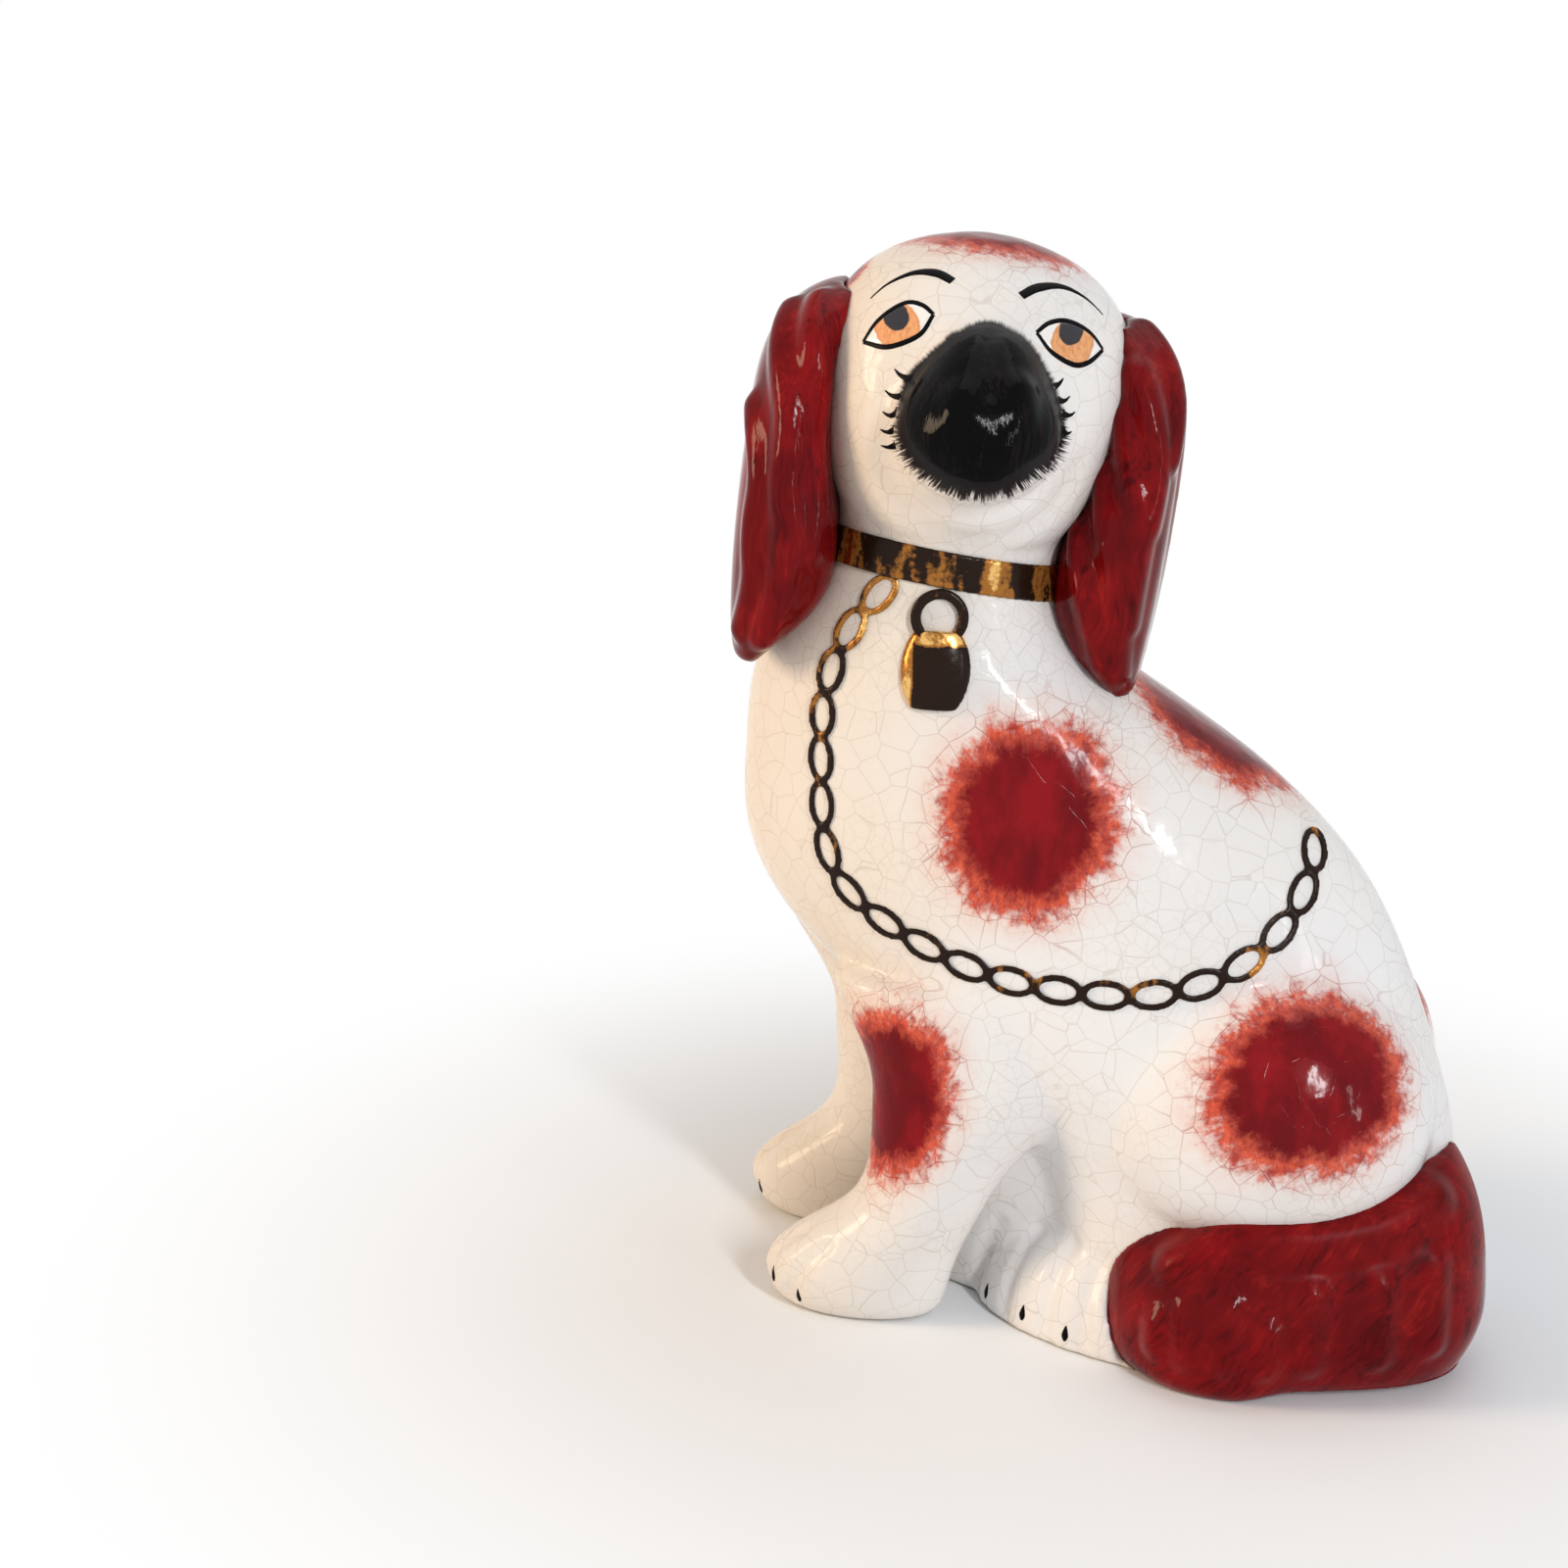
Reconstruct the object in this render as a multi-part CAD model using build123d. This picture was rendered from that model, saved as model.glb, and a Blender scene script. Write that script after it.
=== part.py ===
"""Seated spaniel mantel ornament in cast earthenware.

The figure is a hollow body cast in two halves and closed by a base slab. Forelegs, hind paws, ears, tail
and muzzle are moulded on their own and luted on with slip, and the gilded collar, padlock and chain are
thin sprigs laid on the surface.

Frame: +Z up, origin on the ground under the middle of the figure. The dog sits along X with its chest
towards -X and its tail towards +X, and its face looks out towards -Y. Millimetres and degrees.
"""

import os
from collections import namedtuple

from build123d import *

# Torso, from the ground to the top of the neck
TORSO_LENGTH = 162.0
TORSO_DEPTH = 76.0
TORSO_HEIGHT = 188.0
WALL = 6.0

# Each row: height share, front and back share of the length, middle and half share of the depth
TORSO_SHARES = (
    (0.000, -0.080, 0.455, 0.00, 0.42),
    (0.112, -0.080, 0.475, 0.00, 0.46),
    (0.239, -0.140, 0.480, 0.00, 0.47),
    (0.362, -0.310, 0.440, 0.01, 0.49),
    (0.468, -0.460, 0.388, 0.03, 0.50),
    (0.564, -0.515, 0.325, 0.03, 0.49),
    (0.660, -0.520, 0.215, 0.03, 0.46),
    (0.745, -0.512, 0.065, 0.01, 0.42),
    (0.819, -0.475, -0.060, -0.02, 0.37),
    (0.883, -0.430, -0.106, -0.04, 0.33),
    (0.947, -0.405, -0.102, -0.05, 0.31),
    (1.000, -0.395, -0.100, -0.05, 0.29),
)

# Web, the narrow foot of the belly that joins the forelegs to the hind paws
# Each row: height share, front and back share of the torso's length, half share of its depth
WEB_SHARES = (
    (0.000, -0.222, 0.400, 0.190),
    (0.112, -0.232, 0.400, 0.225),
    (0.239, -0.262, 0.400, 0.280),
    (0.362, -0.330, 0.380, 0.350),
    (0.430, -0.360, 0.360, 0.370),
)

# Haunches, swelling out of both sides; the seat is a share of the torso's length, depth and height
HAUNCH_LENGTH = 74.0
HAUNCH_THICKNESS = 56.0
HAUNCH_HEIGHT = 66.0
HAUNCH_SEAT_SHARES = (0.219, 0.237, 0.303)

# Head, set on the neck, turned to look over the flank and tilted a little
HEAD_WIDTH = 64.0
HEAD_DEPTH = 63.0
HEAD_HEIGHT = 60.0
HEAD_TURN = 10.5
HEAD_TILT = 5.5
HEAD_SEAT_SHARES = (-0.251, -0.039, 0.949)

# Each row: height share, half share of the width, front and back share of the depth
HEAD_SHARES = (
    (0.000, 0.36, -0.41, 0.31),
    (0.075, 0.405, -0.48, 0.37),
    (0.190, 0.45, -0.53, 0.42),
    (0.375, 0.49, -0.555, 0.45),
    (0.575, 0.51, -0.52, 0.45),
    (0.740, 0.475, -0.44, 0.41),
    (0.875, 0.375, -0.325, 0.325),
    (0.958, 0.235, -0.19, 0.205),
    (1.000, 0.090, -0.08, 0.09),
)

# Muzzle, a rounded wedge on the face; the seat is a share of the head's depth and height
MUZZLE_WIDTH = 33.0
MUZZLE_HEIGHT = 34.5
MUZZLE_REACH = 16.0
MUZZLE_ROOT = 14.0
MUZZLE_SEAT_SHARES = (-0.54, 0.203)

# Each row: height share, half share of the width, share of the reach
MUZZLE_SHARES = (
    (0.00, 0.15, 0.25),
    (0.09, 0.34, 0.66),
    (0.27, 0.48, 0.97),
    (0.48, 0.50, 1.00),
    (0.70, 0.40, 0.74),
    (0.88, 0.29, 0.36),
    (1.00, 0.14, 0.02),
)

# Ears, long pads that hang from the sides of the head to below its seat
EAR_LENGTH = 81.0
EAR_DEPTH = 43.0
EAR_DROP_SHARE = 0.567

# Each row: share of the length from the tip up, inner and outer share of the head's width, front and back
# share of the depth
EAR_SHARES = (
    (0.00, 0.575, 0.66, -0.36, -0.01),
    (0.09, 0.475, 0.69, -0.50, 0.11),
    (0.24, 0.360, 0.71, -0.57, 0.22),
    (0.43, 0.375, 0.72, -0.59, 0.32),
    (0.62, 0.415, 0.72, -0.55, 0.38),
    (0.80, 0.400, 0.70, -0.47, 0.37),
    (0.93, 0.360, 0.625, -0.34, 0.29),
    (1.00, 0.330, 0.50, -0.18, 0.18),
)

# Forelegs, columns with a long paw; the far one leads and leans forward. The seat is a share of the torso's
# length for the paw's tip, and of its depth for the spread and for the middle between the legs
LEG_LENGTH = 75.0
LEG_WIDTH = 27.0
LEG_HEIGHT = 96.0
LEG_LEAD = 12.0
LEG_LEAN = 9.0
LEG_SEAT_SHARES = (-0.438, 0.309, 0.04)

# Each row: height share, front and back share of the length, inner and outer share of the width
LEG_SHARES = (
    (0.00, 0.070, 0.49, -0.34, 0.34),
    (0.05, 0.000, 0.54, -0.44, 0.46),
    (0.12, 0.010, 0.56, -0.47, 0.49),
    (0.19, 0.105, 0.59, -0.46, 0.48),
    (0.26, 0.225, 0.63, -0.44, 0.47),
    (0.36, 0.290, 0.69, -0.44, 0.48),
    (0.50, 0.295, 0.83, -0.47, 0.51),
    (0.67, 0.250, 0.99, -0.52, 0.55),
    (0.84, 0.210, 1.03, -0.56, 0.50),
    (1.00, 0.300, 0.88, -0.56, 0.06),
)

# Hind paws, low ovals in front of the haunches; the seat is a share of the torso's length and depth
PAW_LENGTH = 62.0
PAW_WIDTH = 28.0
PAW_HEIGHT = 23.0
PAW_TURN = 26.0
PAW_SEAT_SHARES = (0.025, 0.265)

# Tail, a thick brush wrapped round the rump on the face side; the seat is a share of the torso's length for
# the rump end and of its depth for the near side
TAIL_LENGTH = 84.0
TAIL_DEPTH = 62.0
TAIL_HEIGHT = 37.5
TAIL_SLOPE = 9.5
TAIL_TURN = 17.0
TAIL_SEAT_SHARES = (0.54, -0.615)

# Each row: height share, tip end and rump end share of the length, near and far share of the depth
TAIL_SHARES = (
    (0.00, 0.050, 0.965, 0.05, 0.90),
    (0.14, 0.005, 0.995, 0.00, 0.95),
    (0.38, 0.000, 1.000, 0.00, 0.97),
    (0.64, 0.025, 0.985, 0.03, 0.96),
    (0.85, 0.105, 0.950, 0.10, 0.93),
    (1.00, 0.225, 0.900, 0.21, 0.88),
)

# Base slab that closes the body, with the vent that lets the kiln's steam out
BASE_THICKNESS = 6.0
VENT_DIAMETER = 12.0
VENT_SHARE = 0.148

# Collar, a gilded band round the neck, a little higher at the face and lower at the back
COLLAR_WIDTH = 7.5
COLLAR_THICKNESS = 1.2
COLLAR_SLOPE = 7.0
COLLAR_LIFT = 9.0
COLLAR_SHARE = 0.896

# Padlock under the collar; the seat is a share of the torso's length and height
PADLOCK_WIDTH = 14.5
PADLOCK_HEIGHT = 16.4
PADLOCK_BULGE_SHARE = 1.3
PADLOCK_RELIEF = 3.0
PADLOCK_LAP = 3.2
SHACKLE_DIAMETER = 12.0
SHACKLE_BAR = 2.0
SHACKLE_RELIEF = 1.6
SHACKLE_SEAT_SHARES = (-0.24, 0.864)

# Lead chain over the flank
LINK_LENGTH = 11.2
LINK_WIDTH = 7.2
LINK_BAR = 1.8
LINK_RELIEF = 0.9
LINK_PITCH = 9.9

# Chain route seen from the face side, from the collar round to the back: length share and height share
CHAIN_SHARES = (
    (-0.320, 0.883),
    (-0.384, 0.769),
    (-0.387, 0.663),
    (-0.356, 0.548),
    (-0.261, 0.496),
    (-0.149, 0.465),
    (-0.038, 0.455),
    (0.083, 0.461),
    (0.193, 0.502),
    (0.250, 0.569),
    (0.258, 0.608),
)

# How far the sprigs reach into the body before they are trimmed to it
SPRIG_SINK = 1.6

# Corner share of the half width: as on an ellipse, and fuller for the tail
ROUND_SHARE = 0.707
FULL_SHARE = 0.77

# How far cutters run past what they cut
OVERRUN = 20.0

Station = namedtuple("Station", "z x_low x_high y_low y_high")


def oval(station, corner_share=ROUND_SHARE):
    """Closed smooth outline in a level plane, touching the station's four sides."""
    mid_x = (station.x_low + station.x_high) / 2
    mid_y = (station.y_low + station.y_high) / 2
    corner_x = corner_share * (station.x_high - station.x_low) / 2
    corner_y = corner_share * (station.y_high - station.y_low) / 2
    points = [
        (station.x_high, mid_y),
        (mid_x + corner_x, mid_y + corner_y),
        (mid_x, station.y_high),
        (mid_x - corner_x, mid_y + corner_y),
        (station.x_low, mid_y),
        (mid_x - corner_x, mid_y - corner_y),
        (mid_x, station.y_low),
        (mid_x + corner_x, mid_y - corner_y),
    ]
    return Wire([Edge.make_spline([Vector(x, y, station.z) for x, y in points], periodic=True)])


def stack(stations):
    """Solid lofted through level ovals, from the lowest to the highest."""
    return Solid.make_loft([oval(station) for station in stations])


def grown(stations, amount):
    """The same ovals with every side moved out by an amount, or in where it is negative."""
    return [
        Station(s.z, s.x_low - amount, s.x_high + amount, s.y_low - amount, s.y_high + amount)
        for s in stations
    ]


def ellipsoid(length, width, height):
    """Ellipsoid about the origin from its three full sizes."""
    return scale(Sphere(1), by=(length / 2, width / 2, height / 2))


def torso_stations():
    """Ovals of the torso's outside."""
    return [
        Station(
            height * TORSO_HEIGHT,
            front * TORSO_LENGTH,
            back * TORSO_LENGTH,
            (middle - half) * TORSO_DEPTH,
            (middle + half) * TORSO_DEPTH,
        )
        for height, front, back, middle, half in TORSO_SHARES
    ]


def web_stations():
    """Ovals of the web's outside."""
    return [
        Station(
            height * TORSO_HEIGHT,
            front * TORSO_LENGTH,
            back * TORSO_LENGTH,
            -half * TORSO_DEPTH,
            half * TORSO_DEPTH,
        )
        for height, front, back, half in WEB_SHARES
    ]


def head_stations():
    """Ovals of the head's outside in the head's own frame, which has the neck joint at zero."""
    return [
        Station(
            height * HEAD_HEIGHT,
            -half * HEAD_WIDTH,
            half * HEAD_WIDTH,
            front * HEAD_DEPTH,
            back * HEAD_DEPTH,
        )
        for height, half, front, back in HEAD_SHARES
    ]


def head_place():
    """Where the head's own frame sits on the neck."""
    forward, aside, up = HEAD_SEAT_SHARES
    seat = Pos(forward * TORSO_LENGTH, aside * TORSO_DEPTH, up * TORSO_HEIGHT)
    return seat * Rotation(0, HEAD_TILT, HEAD_TURN)


def haunch(side):
    """Thigh that swells out of the torso; side is -1 on the face side and 1 on the far side."""
    back, spread, rise = HAUNCH_SEAT_SHARES
    place = Pos(back * TORSO_LENGTH, side * spread * TORSO_DEPTH, rise * TORSO_HEIGHT)
    return place * ellipsoid(HAUNCH_LENGTH, HAUNCH_THICKNESS, HAUNCH_HEIGHT)


def body_outside():
    """Torso, web, haunches and head as one filled form."""
    head = head_place() * stack(head_stations())
    return stack(torso_stations()) + stack(web_stations()) + haunch(-1) + haunch(1) + head


def body_hollow():
    """The space that is left when the slip is poured out of the mould."""
    torso = stack(grown(torso_stations(), -WALL)) + stack(grown(web_stations(), -WALL))
    lower = 1 - WALL / HEAD_HEIGHT
    inner = [s._replace(z=s.z * lower) for s in grown(head_stations()[:-1], -WALL)]
    return torso + head_place() * stack(inner)


def seam_side(side):
    """Block that holds everything on one side of the mould seam."""
    width = TORSO_DEPTH + OVERRUN
    height = TORSO_HEIGHT + HEAD_HEIGHT
    return Pos(0, side * width, height / 2) * Box(2 * TORSO_LENGTH, 2 * width, height + OVERRUN)


def base_slab(hollow):
    """Slab that fills the foot of the hollow, with its vent."""
    layer = Pos(0, 0, BASE_THICKNESS / 2) * Box(2 * TORSO_LENGTH, 2 * TORSO_DEPTH, BASE_THICKNESS)
    vent = Pos(VENT_SHARE * TORSO_LENGTH, 0, 0) * Cylinder(VENT_DIAMETER / 2, BASE_THICKNESS + OVERRUN)
    return (hollow & layer) - vent


def foreleg(side):
    """Foreleg with its paw; side is -1 on the face side and 1 on the far side, which leads and leans."""
    tip, spread, middle = LEG_SEAT_SHARES
    stations = []
    for height, front, back, inner, outer in LEG_SHARES:
        lead = LEG_LEAD + height * LEG_LEAN if side > 0 else 0
        start = tip * TORSO_LENGTH - lead
        near, far = sorted(side * (spread * TORSO_DEPTH + share * LEG_WIDTH) for share in (inner, outer))
        stations.append(
            Station(
                height * LEG_HEIGHT,
                start + front * LEG_LENGTH,
                start + back * LEG_LENGTH,
                near + middle * TORSO_DEPTH,
                far + middle * TORSO_DEPTH,
            )
        )
    return stack(stations)


def hind_paw(side):
    """Low oval foot, flat underneath; side is -1 on the face side and 1 on the far side."""
    back, spread = PAW_SEAT_SHARES
    place = Pos(back * TORSO_LENGTH, side * spread * TORSO_DEPTH, 0) * Rotation(0, 0, side * PAW_TURN)
    above = Pos(0, 0, PAW_HEIGHT) * Box(2 * PAW_LENGTH, 2 * PAW_LENGTH, 2 * PAW_HEIGHT)
    return place * (ellipsoid(PAW_LENGTH, PAW_WIDTH, 2 * PAW_HEIGHT) & above)


def ear(side):
    """Long hanging ear; side is 1 over the dog's left cheek and -1 over its right one."""
    bottom = -EAR_DROP_SHARE * HEAD_HEIGHT
    stations = []
    for height, inner, outer, front, back in EAR_SHARES:
        low, high = sorted(side * share * HEAD_WIDTH for share in (inner, outer))
        stations.append(
            Station(bottom + height * EAR_LENGTH, low, high, front * EAR_DEPTH, back * EAR_DEPTH)
        )
    return head_place() * stack(stations)


def muzzle():
    """Rounded wedge that stands out of the face."""
    depth, rise = MUZZLE_SEAT_SHARES
    seat = depth * HEAD_DEPTH
    stations = []
    for height, half, reach in MUZZLE_SHARES:
        stations.append(
            Station(
                rise * HEAD_HEIGHT + height * MUZZLE_HEIGHT,
                -half * MUZZLE_WIDTH,
                half * MUZZLE_WIDTH,
                seat - reach * MUZZLE_REACH,
                seat + MUZZLE_ROOT,
            )
        )
    return head_place() * stack(stations)


def tail():
    """Brush that lies on the ground round the rump and rises towards it."""
    rump_end, near_side = TAIL_SEAT_SHARES
    start = rump_end * TORSO_LENGTH - TAIL_LENGTH
    reach = near_side * TORSO_DEPTH
    outlines = []
    for height, tip, rump, near, far in TAIL_SHARES:
        flat = Station(0, tip * TAIL_LENGTH, rump * TAIL_LENGTH, near * TAIL_DEPTH, far * TAIL_DEPTH)
        lift = Pos(0, 0, height * TAIL_HEIGHT) * Rotation(0, -height * TAIL_SLOPE, 0)
        outlines.append(lift * oval(flat, FULL_SHARE))
    middle = Pos(TAIL_LENGTH / 2, TAIL_DEPTH / 2, 0)
    turned = middle * Rotation(0, 0, TAIL_TURN) * middle.inverse()
    return Pos(start, reach, 0) * turned * Solid.make_loft(outlines)


def collar(body):
    """Band that stands proud of the neck."""
    forward, _, _ = HEAD_SEAT_SHARES
    layer = Box(2 * TORSO_LENGTH, 2 * TORSO_LENGTH, COLLAR_WIDTH)
    place = Pos(forward * TORSO_LENGTH, 0, COLLAR_SHARE * TORSO_HEIGHT)
    tilt = Rotation(-COLLAR_LIFT, COLLAR_SLOPE, 0)
    return (stack(grown(torso_stations(), COLLAR_THICKNESS)) & place * tilt * layer) - body


def surface_plane(body, x, z):
    """Plane on the face side of the body at a place seen from the front, with its normal outwards."""
    sight = Axis((x, -TORSO_LENGTH, z), (0, 1, 0))
    hits = [hit for face in body.faces() for hit in face.find_intersection_points(sight)]
    point, normal = min(hits, key=lambda hit: hit[0].Y)
    if normal.Y > 0:
        normal = -normal
    across = Vector(0, 0, 1).cross(normal)
    return Plane(point, x_dir=across, z_dir=normal)


def ring(length, width, bar, relief):
    """Flat oval ring that starts under the surface and stands out by its relief."""
    outline = Ellipse(length / 2, width / 2) - Ellipse(length / 2 - bar, width / 2 - bar)
    return Pos(0, 0, -SPRIG_SINK) * extrude(outline, relief + SPRIG_SINK)


def padlock(body):
    """Shackle and lock body that hang under the collar."""
    forward, up = SHACKLE_SEAT_SHARES
    x = forward * TORSO_LENGTH
    z = up * TORSO_HEIGHT
    drop = (SHACKLE_DIAMETER + PADLOCK_HEIGHT) / 2 - PADLOCK_LAP
    bow = surface_plane(body, x, z) * ring(SHACKLE_DIAMETER, SHACKLE_DIAMETER, SHACKLE_BAR, SHACKLE_RELIEF)
    barrel = ellipsoid(PADLOCK_WIDTH, PADLOCK_BULGE_SHARE * PADLOCK_HEIGHT, 2 * PADLOCK_RELIEF)
    lock = surface_plane(body, x, z - drop) * (barrel & Box(2 * PADLOCK_WIDTH, PADLOCK_HEIGHT, OVERRUN))
    return bow - lock, lock


def chain(body):
    """Links laid end to end along the route, each on the surface under it, joined into one sprig."""
    seats = [surface_plane(body, x * TORSO_LENGTH, z * TORSO_HEIGHT) for x, z in CHAIN_SHARES]
    route = Edge.make_spline([seat.origin for seat in seats])
    count = round(route.length / LINK_PITCH)
    links = []
    for index in range(count + 1):
        place = route.position_at(index / count)
        along = route.tangent_at(index / count)
        seat = surface_plane(body, place.X, place.Z)
        level = along - seat.z_dir * along.dot(seat.z_dir)
        link_seat = Plane(seat.origin, x_dir=level, z_dir=seat.z_dir)
        links.append(link_seat * ring(LINK_LENGTH, LINK_WIDTH, LINK_BAR, LINK_RELIEF))
    return links[0].fuse(*links[1:])


def build():
    """All sub-parts by name."""
    outside = body_outside()
    hollow = body_hollow()
    shell = outside - hollow
    near_leg = foreleg(-1)
    far_leg = foreleg(1)
    brush = tail()
    band = collar(outside)
    shackle, lock = padlock(outside)
    return {
        "body_front_shell": shell & seam_side(-1),
        "body_back_shell": shell & seam_side(1),
        "base_slab": base_slab(hollow),
        "left_foreleg": near_leg - outside,
        "right_foreleg": far_leg - outside,
        "left_hind_paw": hind_paw(-1) - outside - near_leg - brush,
        "right_hind_paw": hind_paw(1) - outside - far_leg,
        "left_ear": ear(1) - outside - band,
        "right_ear": ear(-1) - outside - band,
        "muzzle": muzzle() - outside,
        "tail": brush - outside,
        "collar": band,
        "padlock_body": lock - outside,
        "padlock_shackle": shackle - outside - band,
        "lead_chain": chain(outside) - outside - band,
    }


def centred(parts):
    """The parts moved so that the origin is under the middle of the whole figure."""
    middle = Compound(list(parts.values())).bounding_box().center()
    return {node: Pos(-middle.X, -middle.Y, 0) * shape for node, shape in parts.items()}


if __name__ == "__main__":
    os.makedirs("parts", exist_ok=True)
    for node, shape in centred(build()).items():
        export_step(shape, f"parts/{node}.step")
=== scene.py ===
"""Dresses the mantel spaniel: glazed skin, enamelled ears and tail, black muzzle, gilded collar and chain."""

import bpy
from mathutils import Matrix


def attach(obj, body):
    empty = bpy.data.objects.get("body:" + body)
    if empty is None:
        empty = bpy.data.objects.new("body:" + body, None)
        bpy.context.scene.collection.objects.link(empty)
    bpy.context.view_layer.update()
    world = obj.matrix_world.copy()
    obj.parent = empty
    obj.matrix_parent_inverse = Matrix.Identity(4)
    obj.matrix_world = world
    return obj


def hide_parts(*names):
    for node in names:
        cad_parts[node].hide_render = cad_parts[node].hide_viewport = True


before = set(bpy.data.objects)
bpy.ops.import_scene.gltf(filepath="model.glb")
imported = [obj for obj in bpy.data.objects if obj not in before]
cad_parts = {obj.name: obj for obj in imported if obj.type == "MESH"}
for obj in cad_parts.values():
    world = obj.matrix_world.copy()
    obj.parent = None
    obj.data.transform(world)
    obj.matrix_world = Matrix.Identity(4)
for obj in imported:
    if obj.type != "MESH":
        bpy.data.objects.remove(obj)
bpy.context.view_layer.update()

import logging
import math
from bisect import bisect_left
from dataclasses import dataclass
from enum import Enum
from typing import Iterable, Optional, Sequence, Union

import bpy
from mathutils import Matrix, Vector

LOG = logging.getLogger("mantel_spaniel")
MM = 0.001
Point = tuple[float, float, float]
Span = tuple[float, float]
Colour = tuple[float, float, float, float]
Socket = bpy.types.NodeSocket
Tree = bpy.types.NodeTree
Material = bpy.types.Material
Piece = bpy.types.Object
Outputs = bpy.types.bpy_prop_collection
Feed = Union[Socket, float, Sequence[float]]
Feeds = dict[Union[str, int], Feed]


class Slot(Enum):
    """The record's material slots."""

    WHITE_GLAZE = "white_glaze"
    RED_ENAMEL = "red_enamel"
    BLACK_ENAMEL = "black_enamel"
    GOLD_LUSTRE = "gold_lustre"


def radians(angles: Point) -> tuple[float, ...]:
    """Three angles in radians."""
    return tuple(math.radians(angle) for angle in angles)


def metres(place: Point) -> tuple[float, ...]:
    """A place in millimetres as one in metres."""
    return tuple(value * MM for value in place)


class Graph:
    """A node tree under construction, with short calls for the nodes that the finishes share."""

    def __init__(self, tree: Tree) -> None:
        """Empties the tree and keeps it."""
        self.tree = tree
        tree.nodes.clear()

    def node(self, kind: str, inputs: Optional[Feeds] = None, **settings: object) -> bpy.types.Node:
        """Adds a node.

        Args:
            kind: the node's type name.
            inputs: what feeds each input, as a socket or a constant.
            settings: the node's own properties.

        Returns:
            The new node.
        """
        made = self.tree.nodes.new(kind)
        for name, value in settings.items():
            setattr(made, name, value)
        self.feed(made, inputs or {})
        return made

    def feed(self, node: bpy.types.Node, inputs: Feeds) -> None:
        """Links a socket into each input, or sets the input's constant."""
        for name, value in inputs.items():
            if isinstance(value, Socket):
                self.tree.links.new(value, node.inputs[name])
            else:
                node.inputs[name].default_value = value

    def group(self, tree: Tree, **inputs: Feed) -> Outputs:
        """Places a shared group and gives its outputs."""
        return self.node("ShaderNodeGroup", inputs, node_tree=tree).outputs

    def math(self, operation: str, a: Feed, b: Feed) -> Socket:
        """One arithmetic step."""
        return self.node("ShaderNodeMath", {0: a, 1: b}, operation=operation).outputs[0]

    def plus(self, a: Feed, b: Feed) -> Socket:
        """Sum of two values."""
        return self.math("ADD", a, b)

    def minus(self, a: Feed, b: Feed) -> Socket:
        """Difference of two values."""
        return self.math("SUBTRACT", a, b)

    def times(self, a: Feed, b: Feed) -> Socket:
        """Product of two values."""
        return self.math("MULTIPLY", a, b)

    def most(self, a: Feed, b: Feed) -> Socket:
        """The larger of two values."""
        return self.math("MAXIMUM", a, b)

    def vector(self, operation: str, a: Feed, b: Feed = (0.0, 0.0, 0.0)) -> Socket:
        """One vector step; the result is the vector output."""
        return self.node("ShaderNodeVectorMath", {0: a, 1: b}, operation=operation).outputs["Vector"]

    def length(self, a: Feed) -> Socket:
        """Length of a vector."""
        return self.node("ShaderNodeVectorMath", {0: a}, operation="LENGTH").outputs["Value"]

    def scaled(self, a: Feed, factor: Feed) -> Socket:
        """A vector times a number."""
        return self.node("ShaderNodeVectorMath", {0: a, "Scale": factor}, operation="SCALE").outputs["Vector"]

    def axis(self, vector: Feed, name: str) -> Socket:
        """One part of a vector."""
        return self.node("ShaderNodeSeparateXYZ", {0: vector}).outputs[name]

    def mix(self, factor: Feed, a: Feed, b: Feed) -> Socket:
        """Colour between a and b."""
        return self.node("ShaderNodeMix", {0: factor, 6: a, 7: b}, data_type="RGBA").outputs[2]

    def noise(
        self, vector: Feed, scale: Feed, detail: float = 3.0, rough: float = 0.55, out: str = "Fac",
    ) -> Socket:
        """Soft noise from 0 to 1."""
        inputs = {"Vector": vector, "Scale": scale, "Detail": detail, "Roughness": rough}
        return self.node("ShaderNodeTexNoise", inputs).outputs[out]

    def step(self, value: Feed, low: float, high: float, start: float = 0.0, end: float = 1.0) -> Socket:
        """Smooth step from start to end as the value goes from low to high."""
        inputs = {"Value": value, "From Min": low, "From Max": high, "To Min": start, "To Max": end}
        return self.node("ShaderNodeMapRange", inputs, interpolation_type="SMOOTHSTEP").outputs[0]

    def mapped(self, vector: Feed, place: Point, turn: Sequence[float], size: Point) -> Socket:
        """A vector in the frame of something with that place, turn and size."""
        inputs = {"Vector": vector, "Location": place, "Rotation": turn, "Scale": size}
        return self.node("ShaderNodeMapping", inputs, vector_type="TEXTURE").outputs[0]

    def millimetres(self) -> Socket:
        """The surface's place in the row frame, in millimetres."""
        return self.scaled(self.node("ShaderNodeTexCoord").outputs["Object"], 1.0 / MM)

    def snout_gap(self) -> Socket:
        """How far the surface lies outside the snout's black rim, in millimetres."""
        return self.node("ShaderNodeAttribute", attribute_name="snout_gap").outputs["Fac"]

    def bump(self, height: Feed, strength: float, distance: float) -> Socket:
        """Normal of a fine relief whose full height is a distance in millimetres."""
        inputs = {"Height": height, "Strength": strength, "Distance": distance * MM}
        return self.node("ShaderNodeBump", inputs).outputs[0]


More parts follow.
